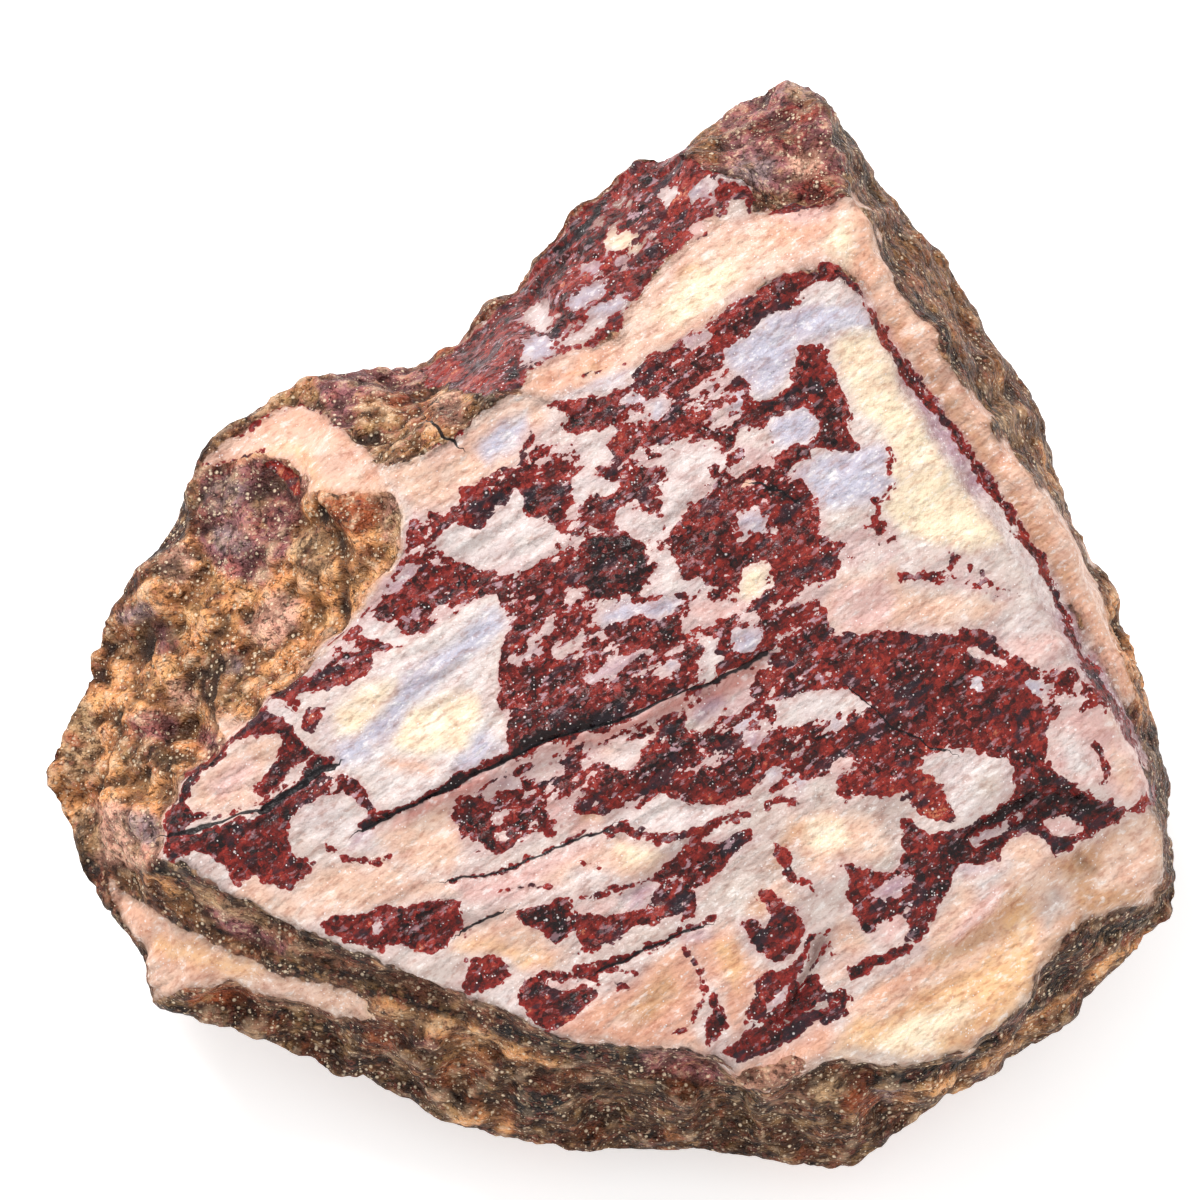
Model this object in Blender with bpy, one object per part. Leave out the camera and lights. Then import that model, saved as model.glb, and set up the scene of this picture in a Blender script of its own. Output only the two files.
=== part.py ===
"""A rough piece of picasso jasper: one closed stone lying on its weathered back.

The broken front is drawn the way it is seen. Each edge, ledge and step is a line of points
(across, up, out), in millimetres, in a view plane through the middle of the stone: out is how far
the point stands off that plane, towards the eye. The lines are joined into one sheet, and rings of
points carry its outline down to the small flat spot that the stone rests on.
"""

import math
import random

import bmesh
import bpy
from mathutils import Vector, noise
from mathutils.geometry import delaunay_2d_cdt, intersect_line_line_2d
from mathutils.kdtree import KDTree

MM = 0.001

# The eye looks down on the stone at this angle, from this far away.
VIEW_ELEVATION = math.radians(62)
VIEW_DISTANCE = 400.0
# The middle of the view plane, in the stone's own frame: its box is centred on the origin.
VIEW_CENTRE = Vector((-0.85, -2.67, 24.0))

# Spacing of the points of the front sheet, on its lines and between them.
LINE_SPACING = 1.05
SHEET_SPACING = 1.04
SHEET_JITTER = 0.22
CLEAR_OF_LINE = 0.74

# Rings from the outline down to the foot, and the part of a quarter turn that they follow.
BACK_RINGS = 12
BACK_TURN = math.radians(76)
BACK_SPACING = 2.0

# Corners of the flat spot that the stone rests on, seen from above.
FOOT_CORNERS = (
    (17.5, -3.0), (13.5, 9.5), (3.5, 14.5), (-9.0, 12.0), (-16.5, 3.5),
    (-15.0, -7.5), (-5.0, -13.0), (8.5, -12.0),
)  # fmt: skip

# Flats that the back broke along: azimuth, dip below the level, and depth that each takes off.
# Azimuth 0 faces the front and 90 the right.
BREAK_FLATS = (
    (20, 40, 2.6), (62, 24, 3.0), (88, 6, 1.2), (104, 34, 3.2), (136, 10, 2.6), (150, 46, 3.0),
    (178, 20, 2.8), (205, 2, 2.4), (222, 38, 3.4), (250, 14, 2.6), (276, 40, 3.2), (300, 22, 2.4),
    (332, 44, 3.0),
)  # fmt: skip

# Outline of the stone as it is seen, from the top tip down the left side and round.
OUTLINE = (
    (11.3, 31.45, -12.0), (10.0, 31.1, -12.3), (9.0, 30.3, -12.3), (7.9, 29.8, -12.2),
    (7.0, 29.0, -12.0), (6.2, 28.05, -11.8), (5.3, 27.4, -11.5), (3.9, 26.7, -10.5),
    (2.6, 26.9, -9.5), (1.4, 26.1, -9.8), (0.4, 25.3, -10.2), (-0.8, 24.6, -10.5),
    (-1.8, 23.5, -10.8), (-2.9, 22.1, -11.0), (-4.0, 21.0, -11.2), (-4.6, 19.8, -11.4),
    (-5.4, 18.7, -11.4), (-6.8, 18.0, -11.3), (-7.9, 16.8, -11.2), (-8.6, 15.6, -11.0),
    (-9.9, 15.0, -10.8), (-11.3, 14.3, -10.6), (-13.4, 14.25, -10.4), (-15.2, 13.85, -10.3),
    (-17.2, 13.9, -10.2), (-18.3, 13.25, -10.1), (-20.0, 12.2, -10.0), (-21.4, 11.5, -9.8),
    (-22.8, 10.3, -9.6), (-23.9, 9.2, -9.4), (-24.6, 7.8, -9.2), (-25.1, 6.6, -9.2),
    (-25.4, 5.2, -9.2), (-26.3, 4.0, -9.2), (-27.6, 2.7, -9.2), (-28.6, 1.5, -9.2),
    (-29.2, 0.1, -9.0), (-30.1, -1.1, -8.8), (-30.2, -2.4, -8.6), (-30.9, -4.0, -8.4),
    (-31.3, -5.5, -8.2), (-32.1, -6.8, -8.0), (-32.7, -8.3, -7.8), (-33.3, -9.7, -7.6),
    (-33.4, -10.9, -7.4), (-32.8, -12.4, -7.0), (-31.9, -14.0, -6.6), (-31.65, -15.5, -6.2),
    (-31.2, -16.8, -5.9), (-30.1, -18.2, -5.5), (-28.6, -20.0, -5.2), (-27.7, -21.5, -5.0),
    (-27.2, -23.2, -4.8), (-26.7, -24.4, -4.7), (-25.4, -25.0, -4.6), (-23.8, -25.5, -4.6),
    (-22.3, -25.6, -4.6), (-20.7, -26.25, -4.5), (-19.0, -27.1, -4.5), (-17.3, -28.0, -4.4),
    (-15.8, -28.65, -4.4), (-14.2, -28.7, -4.4), (-13.0, -29.5, -4.4), (-11.6, -30.1, -4.3),
    (-10.4, -31.15, -4.2), (-8.8, -31.6, -4.1), (-7.0, -32.0, -4.0), (-5.0, -32.6, -4.0),
    (-3.2, -32.85, -4.0), (-1.6, -33.2, -4.0), (0.4, -33.2, -4.0), (2.2, -32.9, -4.0),
    (4.2, -33.05, -4.0), (6.6, -32.85, -4.0), (8.2, -33.3, -4.0), (10.4, -33.6, -4.0),
    (12.2, -34.1, -4.0), (13.8, -34.35, -4.0), (15.2, -34.15, -4.0), (16.2, -33.4, -4.2),
    (17.6, -32.5, -4.4), (18.8, -31.4, -4.6), (20.2, -30.3, -4.8), (21.6, -29.3, -5.0),
    (23.2, -28.85, -5.0), (24.3, -28.0, -5.2), (25.5, -27.0, -5.4), (27.1, -26.35, -5.6),
    (28.5, -25.3, -6.0), (29.6, -24.0, -6.4), (31.2, -22.3, -6.8), (32.2, -21.1, -7.2),
    (33.0, -20.05, -7.4), (34.3, -19.2, -7.6), (34.95, -17.9, -7.8), (34.9, -16.6, -8.0),
    (34.3, -14.8, -8.4), (34.15, -13.4, -8.7), (34.4, -11.2, -9.0), (34.0, -9.3, -9.4),
    (33.4, -7.1, -9.8), (32.7, -4.7, -10.2), (32.15, -2.8, -10.6), (31.4, -0.7, -11.0),
    (31.0, 0.9, -11.3), (29.8, 2.3, -11.7), (28.7, 4.2, -12.1), (28.0, 5.8, -12.4),
    (27.35, 7.3, -12.7), (27.2, 9.0, -13.0), (26.6, 11.1, -13.3), (25.5, 13.1, -13.6),
    (24.7, 14.5, -13.8), (23.9, 15.5, -14.0), (23.2, 17.1, -14.0), (22.2, 18.7, -14.0),
    (21.3, 20.0, -14.0), (19.9, 21.7, -13.9), (18.9, 23.1, -13.8), (17.6, 24.5, -13.6),
    (16.6, 25.9, -13.4), (15.5, 27.5, -13.2), (14.3, 29.0, -13.0), (13.2, 30.4, -12.6),
    (12.3, 31.2, -12.2),
)  # fmt: skip

# Left edge of the patterned face, where it meets the granular ochre side, from the top down.
FACE_SEAM = (
    (-11.9, 5.2, 0.5), (-11.7, 3.0, 0.8), (-12.7, 1.5, 0.9), (-13.8, 0.0, 1.0),
    (-15.2, -1.5, 1.1), (-16.8, -3.2, 1.2), (-18.0, -4.6, 1.2), (-20.0, -6.0, 1.1),
    (-21.2, -7.5, 1.1), (-23.2, -9.2, 1.0), (-24.8, -10.8, 1.0), (-25.8, -12.4, 1.1),
    (-26.2, -14.0, 1.2), (-26.4, -15.4, 1.3),
)  # fmt: skip

# Lower rim of the face, above the brown front wall, from the left corner to the right one.
FACE_RIM = (
    (-26.4, -15.4, 1.3), (-24.5, -16.4, 1.7), (-21.0, -18.2, 2.4), (-18.0, -19.7, 2.9),
    (-15.0, -21.1, 3.4), (-12.0, -22.2, 3.9), (-9.0, -23.5, 4.4), (-6.2, -24.4, 4.8),
    (-4.0, -25.5, 5.0), (-2.5, -26.1, 5.1), (0.0, -26.3, 5.2), (2.0, -26.85, 5.2),
    (4.5, -26.9, 5.2), (6.8, -27.2, 5.2), (7.8, -28.0, 4.9), (8.6, -29.0, 4.4),
    (9.8, -29.5, 4.1), (11.0, -28.9, 4.3), (12.4, -27.9, 4.6), (14.3, -27.3, 4.7),
    (15.9, -27.7, 4.4), (17.6, -27.9, 4.1), (19.6, -27.7, 3.8), (21.6, -27.0, 3.4),
    (22.8, -26.1, 3.2), (24.3, -25.0, 2.9), (25.5, -23.8, 2.5), (26.0, -22.6, 2.2),
    (26.9, -21.1, 1.6), (28.2, -19.5, 1.0), (29.2, -18.7, 0.5), (30.4, -18.3, 0.0),
    (31.5, -18.4, -0.5), (32.6, -18.1, -1.0), (33.3, -16.8, -1.5), (33.6, -14.7, -2.0),
    (33.4, -12.9, -2.2),
)  # fmt: skip

# Right edge of the face, the groove of dark vein beside it, and the cream ledge's outer edge.
FACE_RIGHT = (
    (14.1, 19.6, -1.0), (15.3, 18.5, -0.9), (16.3, 16.5, -0.8), (17.2, 14.6, -0.6),
    (18.1, 12.4, -0.3), (20.0, 9.4, 0.1), (22.0, 6.6, 0.4), (24.2, 3.6, 0.5),
    (25.8, 1.0, 0.5), (27.0, -1.2, 0.4), (28.4, -3.6, 0.2), (29.9, -5.9, -0.1),
    (31.3, -7.8, -0.5), (32.2, -9.6, -0.9), (32.7, -11.3, -1.3),
)  # fmt: skip
VEIN_GROOVE = (
    (15.4, 19.9, -2.0), (16.2, 18.6, -2.4), (17.1, 16.9, -2.6), (18.0, 15.0, -2.7),
    (18.9, 13.5, -2.8), (20.5, 11.8, -2.7), (21.9, 9.7, -2.6), (23.3, 7.4, -2.5),
    (24.9, 5.1, -2.5), (26.3, 3.0, -2.5), (27.5, 0.6, -2.6), (28.6, -1.6, -2.7),
    (29.9, -3.8, -2.9), (31.1, -6.0, -3.2), (32.2, -8.2, -3.6), (33.0, -10.2, -4.0),
)  # fmt: skip
LEDGE_EDGE = (
    (15.3, 24.1, -3.6), (16.2, 22.6, -3.0), (16.6, 20.9, -2.6), (17.4, 19.4, -2.4),
    (18.3, 17.9, -2.3), (20.3, 16.3, -2.3), (20.7, 14.8, -2.2), (21.8, 12.8, -2.1),
    (23.5, 10.7, -2.0), (24.2, 9.2, -2.0), (25.5, 8.2, -2.1), (26.2, 6.6, -2.2),
    (27.6, 4.6, -2.4), (28.7, 2.9, -2.6), (29.2, 1.2, -2.8), (30.2, -0.5, -3.1),
    (31.0, -2.3, -3.6), (31.9, -4.4, -4.2), (32.4, -6.2, -4.9), (32.9, -8.0, -5.7),
)  # fmt: skip

# Two lines on the brown right wall below the ledge, that give it rows of points.
RIGHT_WALL_HIGH = (
    (16.5, 24.0, -6.6), (17.4, 22.2, -6.2), (18.2, 20.4, -6.0), (19.6, 18.4, -6.0),
    (21.3, 16.4, -6.0), (22.0, 14.6, -6.0), (23.2, 12.6, -5.9), (24.5, 10.6, -5.8),
    (25.3, 9.4, -5.8),
)  # fmt: skip
RIGHT_WALL_LOW = (
    (14.4, 27.9, -10.4), (15.8, 25.9, -10.2), (17.4, 23.6, -9.8), (18.6, 21.8, -9.6),
    (19.8, 20.0, -9.6), (21.0, 18.2, -9.6), (22.3, 16.4, -9.6), (23.3, 14.8, -9.6),
    (24.5, 12.9, -9.4), (25.5, 11.0, -9.2), (26.2, 9.2, -9.0), (26.7, 7.4, -8.6),
    (27.3, 6.0, -8.2), (28.1, 4.6, -7.8), (29.1, 2.9, -7.4), (30.1, 1.1, -7.2),
    (30.8, -0.6, -7.2), (31.5, -2.4, -7.2), (32.2, -4.4, -7.6),
)  # fmt: skip

# Upper lip of the face, from the ochre side over the cream tongue to the top corner.
FACE_TOP = (
    (-13.1, 7.8, -1.2), (-11.5, 8.4, -0.6), (-10.0, 8.9, -0.3), (-8.0, 10.3, -0.3),
    (-6.0, 11.8, -0.5), (-4.6, 12.3, -0.7), (-3.0, 12.0, -0.7), (-1.0, 12.7, -0.8),
    (1.0, 12.7, -0.8), (2.2, 14.0, -0.9), (4.0, 15.0, -0.9), (6.0, 16.0, -1.0),
    (8.0, 17.8, -1.0), (10.0, 19.0, -1.0), (12.0, 19.8, -1.0), (14.1, 19.6, -1.0),
)  # fmt: skip

# Sharp upper edge of the cream slab, over the purple facet at the tip.
SLAB_EDGE = (
    (3.9, 26.7, -10.5), (4.5, 26.4, -8.0), (5.4, 26.2, -6.4), (6.3, 26.0, -5.4), (7.2, 25.75, -4.7),
    (8.5, 25.3, -4.1), (9.4, 24.8, -3.9), (10.3, 24.2, -3.8), (11.2, 23.6, -3.7),
    (12.8, 23.7, -3.6), (14.0, 24.1, -3.6), (15.3, 24.1, -3.6),
)  # fmt: skip
TIP_ARRIS = (
    (15.3, 24.1, -3.6), (14.7, 25.3, -4.9), (14.1, 26.6, -5.9), (13.9, 27.9, -7.0),
    (13.6, 29.0, -8.2), (13.2, 30.0, -9.6), (12.4, 31.0, -11.4),
)  # fmt: skip
TIP_CROWN = ((5.9, 27.2, -9.2), (7.6, 28.4, -9.2), (9.3, 29.6, -9.6), (11.2, 30.5, -10.2))
TIP_BELLY = ((8.2, 26.7, -6.6), (10.6, 27.4, -6.9), (12.9, 27.9, -7.0))

# Shoulder of the red slope over the upper left side, where it turns down to the outline.
RED_SHOULDER = (
    (-8.9, 12.4, -3.6), (-7.0, 14.2, -4.9), (-5.0, 16.2, -5.5), (-3.0, 18.6, -5.8),
    (-0.9, 21.2, -6.2), (0.9, 23.4, -6.6), (2.9, 25.3, -7.2),
)  # fmt: skip
RED_SLOPE = ((-4.2, 14.2, -3.2), (-1.2, 16.8, -3.5), (1.4, 19.4, -3.8), (4.0, 22.4, -4.3), (6.4, 24.4, -4.3))

# The cream arch on the left, the hollow below it, and the folds of the ochre side.
ARCH_CREST = (
    (-23.4, 8.4, -6.6), (-22.4, 9.2, -6.3), (-20.8, 10.4, -5.7), (-19.0, 11.1, -5.2),
    (-17.3, 11.2, -4.7), (-15.5, 10.3, -3.7), (-14.2, 9.1, -2.6), (-13.1, 7.8, -1.2),
)  # fmt: skip
ARCH_FOOT = (
    (-22.9, 7.4, -7.1), (-21.6, 7.7, -6.9), (-20.2, 8.0, -6.5), (-18.8, 7.7, -5.8),
    (-18.0, 6.2, -4.9), (-18.1, 4.4, -4.3), (-18.9, 2.5, -3.9),
)  # fmt: skip
HOLLOW = ((-23.0, 5.6, -7.0), (-21.2, 5.8, -6.7), (-20.4, 4.0, -5.8), (-21.4, 2.0, -5.2))
CRUST_FOLD = (
    (-24.1, 6.5, -7.4), (-24.1, 5.2, -7.2), (-24.5, 3.9, -6.8), (-26.0, 2.4, -6.7),
    (-27.3, 1.0, -6.8), (-28.4, -0.4, -6.9),
)  # fmt: skip
OCHRE_RIDGE = (
    (-15.8, 3.6, -2.0), (-18.5, 0.3, -2.9), (-22.0, -3.6, -3.6), (-25.4, -8.0, -3.8),
    (-27.4, -11.6, -3.2),
)  # fmt: skip
LEFT_RIDGE = (
    (-29.5, -2.6, -6.9), (-30.2, -4.8, -6.6), (-29.8, -7.6, -5.7), (-30.2, -9.8, -5.4),
    (-31.1, -12.2, -5.2), (-30.9, -14.2, -4.8), (-30.3, -16.2, -4.3),
)  # fmt: skip

# Layers under the left corner: a brown band, and the cream ledge that stands out below it.
BAND_FOOT = (
    (-27.9, -16.9, -1.7), (-26.4, -18.1, -0.9), (-25.0, -19.6, -0.7),
    (-23.5, -20.8, -0.6), (-21.0, -21.7, -0.3), (-19.0, -22.4, 0.1), (-17.0, -23.1, 0.5),
    (-14.5, -23.8, 1.0), (-12.6, -24.2, 1.5),
)  # fmt: skip
CREAM_LEDGE = (
    (-28.9, -17.6, -3.6), (-28.1, -19.2, -3.2), (-27.2, -20.9, -2.9), (-26.7, -22.5, -2.7),
    (-26.1, -23.6, -2.6), (-25.0, -23.8, -2.3), (-23.4, -23.6, -1.9), (-21.8, -23.3, -1.6),
    (-19.8, -23.9, -1.3), (-18.0, -24.7, -1.1), (-16.0, -25.0, -0.7), (-14.4, -25.2, -0.3),
    (-12.4, -25.0, 0.4),
)  # fmt: skip

# Two more layer lines along the front wall and round the right corner.
UPPER_LAYER = (
    (-10.6, -26.1, 1.4), (-8.0, -26.5, 2.2), (-5.0, -27.5, 2.6), (-2.0, -28.0, 2.8),
    (1.0, -28.3, 2.8), (3.4, -28.9, 2.7), (5.6, -29.8, 2.4),
)  # fmt: skip
RIGHT_LAYER = (
    (12.6, -30.2, 2.2), (14.4, -29.4, 2.3), (16.2, -29.6, 2.0), (18.2, -29.4, 1.6),
    (20.4, -28.7, 1.2), (22.4, -27.8, 0.8), (24.6, -26.2, 0.3), (26.4, -24.3, -0.3),
    (28.1, -22.5, -1.1), (30.0, -20.8, -2.2), (32.2, -19.6, -3.5), (34.0, -18.0, -5.0),
)  # fmt: skip
LOWER_LAYER = (
    (-23.6, -24.8, -3.5), (-20.4, -25.4, -2.9), (-17.0, -26.6, -2.2), (-13.6, -27.6, -1.6),
    (-10.4, -29.0, -1.1), (-6.8, -30.0, -0.8), (-3.0, -30.6, -0.7), (1.0, -30.9, -0.7),
    (5.0, -31.3, -0.7), (8.6, -32.0, -0.7), (12.6, -32.0, -0.7), (16.2, -31.2, -1.0),
    (19.4, -29.9, -1.6), (22.8, -28.2, -2.2), (25.8, -26.0, -2.9), (28.4, -23.9, -3.7),
)  # fmt: skip

# Breaks across the face. The side on the left of each line, as it runs, stands over the other.
CRACK_STEP = (
    (-14.0, -13.9, 3.0), (-12.5, -12.9, 3.2), (-11.0, -12.2, 3.4), (-9.0, -11.5, 3.6),
    (-7.0, -10.6, 3.8), (-5.0, -9.5, 4.0), (-3.0, -8.7, 4.1), (-1.0, -8.2, 4.2),
    (2.0, -7.15, 4.2), (4.0, -6.15, 4.2), (6.0, -5.4, 4.0), (7.5, -5.1, 3.8),
    (8.8, -4.4, 3.5), (10.0, -3.2, 3.1), (12.0, -2.4, 2.8),
)  # fmt: skip
FISSURE = (
    (-25.2, -13.7, 1.5), (-24.0, -13.3, 1.8), (-22.5, -12.9, 2.0), (-21.0, -12.5, 2.3),
    (-19.4, -11.5, 2.5), (-18.2, -10.6, 2.7), (-17.2, -10.0, 2.8), (-16.1, -9.8, 2.9),
)  # fmt: skip
MIDDLE_STEP = (
    (9.0, -25.8, 4.9), (10.2, -25.2, 4.8), (11.0, -24.5, 4.7), (11.7, -23.6, 4.5),
    (12.5, -22.2, 4.3), (13.2, -20.6, 4.0), (14.0, -19.3, 3.8),
)  # fmt: skip
RIGHT_SCARP = (
    (20.0, -14.4, 2.9), (21.6, -13.8, 2.7), (23.4, -12.7, 2.4), (25.0, -11.8, 2.0),
    (27.0, -10.9, 1.5), (29.0, -11.4, 0.8), (31.2, -12.1, -0.3),
)  # fmt: skip
RIGHT_STEP = (
    (18.4, -21.8, 3.9), (19.9, -21.2, 3.6), (21.4, -20.4, 3.2), (23.2, -19.2, 2.7),
    (24.4, -17.9, 2.3), (25.6, -16.8, 1.9), (26.8, -15.5, 1.4), (28.4, -15.0, 0.7),
    (30.2, -13.9, -0.2), (31.7, -12.8, -1.1),
)  # fmt: skip

# Gentle rises and dips inside the face, which leave no edge.
FACE_SWELLS = (
    ((-22.6, -10.6, 1.9), (-20.6, -8.9, 2.0)),
    ((-17.4, -12.6, 3.0), (-15.4, -11.4, 3.2)),
    ((-13.6, -6.6, 2.6), (-9.4, -4.4, 2.8)),
    ((-6.4, 2.6, 1.3), (-2.6, 5.4, 1.0)),
    ((0.0, 0.0, 2.6), (4.4, 3.6, 2.2)),
    ((6.0, 10.4, 0.8), (10.4, 13.2, 0.3)),
    ((15.4, 9.6, 0.8), (18.6, 5.0, 1.2)),
    ((16.0, -1.0, 2.2), (21.6, -2.4, 1.6)),
    ((13.4, -8.6, 3.3), (18.4, -9.4, 2.8)),
    ((22.0, -6.6, 1.8), (26.4, -7.0, 1.0)),
    ((28.6, -9.2, 0.7), (29.4, -8.6, 0.5)),
    ((-10.0, -15.0, 3.6), (-6.0, -13.4, 3.9)),
    ((-16.0, -18.0, 3.1), (-11.0, -19.0, 3.7)),
    ((-2.0, -17.4, 4.3), (4.0, -15.6, 4.4)),
    ((1.4, -23.6, 5.2), (4.4, -22.6, 5.2)),
    ((9.4, -17.4, 4.4), (13.0, -14.4, 4.0)),
    ((16.6, -24.6, 4.2), (20.6, -24.2, 3.7)),
    ((28.0, -16.8, 0.3), (31.4, -15.4, -0.8)),
)  # fmt: skip

# Rounded lumps and pits: across, up, radius, height.
OCHRE_LUMPS = (
    (-23.2, -5.6, 1.9, 1.1), (-23.2, -1.6, 1.9, 0.9), (-20.6, -4.4, 1.5, 0.7), (-26.2, -3.4, 2.0, 1.0),
    (-27.6, -6.6, 1.8, 0.9), (-25.8, -9.4, 1.6, 0.7), (-17.4, 2.2, 2.2, 0.7), (-19.6, -1.6, 1.9, 0.8),
    (-26.2, 0.2, 1.7, 0.8), (-28.4, -9.8, 1.8, 0.8), (-14.8, 4.4, 1.5, 0.6), (-28.8, -12.8, 2.0, 0.9),
    (-22.4, 3.2, 1.5, 0.6), (-16.4, 6.6, 2.0, 0.6), (-24.4, -12.0, 1.2, 0.4), (-28.0, -0.6, 1.3, 0.7),
)  # fmt: skip
WALL_LUMPS = (
    (-3.6, -29.9, 2.2, 1.0), (-10.4, -27.2, 2.0, 0.7), (4.6, -30.9, 2.1, 0.7), (14.6, -31.4, 2.3, 0.8),
    (-14.4, -26.6, 1.8, 0.6), (25.4, 11.4, 1.7, 0.8), (23.6, 14.6, 1.6, 0.7), (21.2, 18.6, 1.8, 0.7),
    (28.8, -20.8, 1.8, 0.7), (-20.6, -24.7, 1.6, 0.5), (17.8, 23.4, 1.5, 0.6), (31.4, -20.8, 1.5, 0.6),
    (20.4, -30.0, 1.8, 0.6), (-7.4, -30.6, 1.7, 0.6), (10.2, -32.6, 1.6, 0.6),
)  # fmt: skip
PITS = (
    (-21.4, -0.7, 1.5, 0.8), (-29.7, -2.6, 1.8, 0.7), (-8.2, -28.2, 2.0, 0.7), (-27.0, -11.2, 1.5, 0.6),
    (0.2, -31.6, 1.8, 0.6), (16.2, 25.4, 1.5, 0.7), (25.9, 8.9, 1.5, 0.6), (7.6, -31.4, 1.9, 0.7),
    (-24.8, -7.4, 1.4, 0.6), (-16.8, -27.4, 1.7, 0.6), (17.6, -31.2, 1.7, 0.6), (-20.4, -2.9, 1.3, 0.5),
)  # fmt: skip

SEED = 11
RIDGE_CLIMB = math.radians(35)
HIDDEN_SMOOTHING = 90
RELEASED_SMOOTHING = 7


def between(a, b, share):
    return tuple(p + (q - p) * share for p, q in zip(a, b))


def spline_point(before, start, end, after, share):
    """A point on the smooth curve from start to end, which also heeds the points beyond them."""
    t2 = share * share
    t3 = t2 * share
    weights = (
        (-share + 2 * t2 - t3) / 2,
        (2 - 5 * t2 + 3 * t3) / 2,
        (share + 4 * t2 - 3 * t3) / 2,
        (t3 - t2) / 2,
    )
    corners = (before, start, end, after)
    return tuple(sum(w * c[axis] for w, c in zip(weights, corners)) for axis in range(3))


def smooth_line(points, spacing=LINE_SPACING, closed=False):
    """The line with points added on a smooth curve, so that none are further apart than spacing."""
    count = len(points)
    line = []
    for index in range(count if closed else count - 1):
        start = points[index]
        end = points[(index + 1) % count]
        before = points[index - 1] if closed or index else start
        after = points[(index + 2) % count] if closed or index + 2 < count else end
        pieces = max(1, math.ceil(math.dist(start[:2], end[:2]) / spacing))
        for piece in range(pieces):
            line.append(spline_point(before, start, end, after, piece / pieces))
    if not closed:
        line.append(points[-1])
    return line


def step_below(line, width, drop, end_drop=0.25):
    """The foot of a step: the line moved to the right of its run by width, and lowered by drop in its middle."""
    foot = []
    last = len(line) - 1
    for index, (u, v, out) in enumerate(line):
        ahead = line[min(index + 1, last)]
        behind = line[max(index - 1, 0)]
        along = Vector((ahead[0] - behind[0], ahead[1] - behind[1])).normalized()
        middle = math.sin(math.pi * index / last)
        lowered = drop * (end_drop + (1 - end_drop) * middle)
        foot.append((u + along.y * width, v - along.x * width, out - lowered))
    return foot


def inside(polygon, u, v):
    """Whether a point lies inside a closed line."""
    odd = False
    for (u0, v0, *_), (u1, v1, *_) in zip(polygon, polygon[1:] + polygon[:1]):
        if (v0 > v) != (v1 > v) and u < (u1 - u0) * (v - v0) / (v1 - v0) + u0:
            odd = not odd
    return odd


def distance_to_line(line, u, v):
    """The distance from a point to the nearest stretch of a line."""
    nearest = math.inf
    for (u0, v0, *_), (u1, v1, *_) in zip(line, line[1:]):
        run_u = u1 - u0
        run_v = v1 - v0
        length = run_u * run_u + run_v * run_v
        if not length:
            continue
        share = max(0.0, min(1.0, ((u - u0) * run_u + (v - v0) * run_v) / length))
        nearest = min(nearest, math.hypot(u - u0 - run_u * share, v - v0 - run_v * share))
    return nearest


def sharp_lines():
    """Every line that stays an edge of the stone, with the feet of its steps."""
    crack = smooth_line(CRACK_STEP)
    fissure = smooth_line(FISSURE)
    middle = smooth_line(MIDDLE_STEP)
    scarp = smooth_line(RIGHT_SCARP)
    right = smooth_line(RIGHT_STEP)
    seam = smooth_line(FACE_SEAM)
    top = smooth_line(FACE_TOP)
    slab = smooth_line(SLAB_EDGE)
    rim = smooth_line(FACE_RIM)
    ledge = smooth_line(CREAM_LEDGE)
    layer = smooth_line(UPPER_LAYER)
    right_layer = smooth_line(RIGHT_LAYER)
    return [
        seam,
        step_below(seam[1:-1], 0.6, 1.4, 0.6),
        rim,
        step_below(rim[9:-16], 0.65, 1.9, 0.6),
        smooth_line(FACE_RIGHT),
        smooth_line(VEIN_GROOVE),
        smooth_line(LEDGE_EDGE),
        top,
        step_below(top[3:-2], -0.55, 0.9),
        slab,
        step_below(slab[2:-1], -0.45, 1.1, 0.5),
        smooth_line(TIP_ARRIS),
        ledge,
        step_below(ledge[7:-1], 0.65, 1.5, 0.6),
        layer,
        step_below(layer[1:], 0.65, 1.5, 0.5),
        right_layer,
        step_below(right_layer[1:-5], 0.65, 1.3, 0.5),
        smooth_line(CRUST_FOLD),
        crack,
        step_below(crack, 0.4, 1.0),
        fissure,
        step_below(fissure[1:-1], -0.4, 0.9, 0.4),
        middle,
        step_below(middle, 0.45, 0.9),
        scarp,
        step_below(scarp[1:-1], 0.7, 1.1, 0.4),
        right,
        step_below(right[1:-1], 0.4, 1.1, 0.4),
    ]


def soft_lines():
    """Lines that guide the form and are then let go."""
    named = [BAND_FOOT, LOWER_LAYER, TIP_CROWN, TIP_BELLY, RED_SHOULDER, RED_SLOPE]
    named += [RIGHT_WALL_HIGH, RIGHT_WALL_LOW, ARCH_CREST, ARCH_FOOT, HOLLOW, OCHRE_RIDGE, LEFT_RIDGE, *FACE_SWELLS]
    return [smooth_line(line) for line in named]


def scatter(outline, lines, rng):
    """Points on a jittered triangular grid inside the outline, clear of every line."""
    row_height = SHEET_SPACING * math.sqrt(3) / 2
    taken = [point for line in [*lines, outline] for point in line]
    near = KDTree(len(taken))
    for index, (u, v, _) in enumerate(taken):
        near.insert((u, v, 0.0), index)
    near.balance()
    found = []
    rows = int(70 / row_height)
    for row in range(-rows // 2, rows // 2 + 1):
        shift = SHEET_SPACING / 2 * (row % 2)
        for column in range(-34, 35):
            u = column * SHEET_SPACING + shift + rng.uniform(-SHEET_JITTER, SHEET_JITTER)
            v = row * row_height + rng.uniform(-SHEET_JITTER, SHEET_JITTER)
            if near.find((u, v, 0.0))[2] > CLEAR_OF_LINE and inside(outline, u, v):
                found.append((u, v))
    return found


def wander(point):
    """The point moved along the line of sight, so that the outline isn't even when seen from the side."""
    u, v, out = point
    return (u, v, out + 1.8 * noise.noise(Vector((u / 4.5, v / 4.5, 9.0))))


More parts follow.
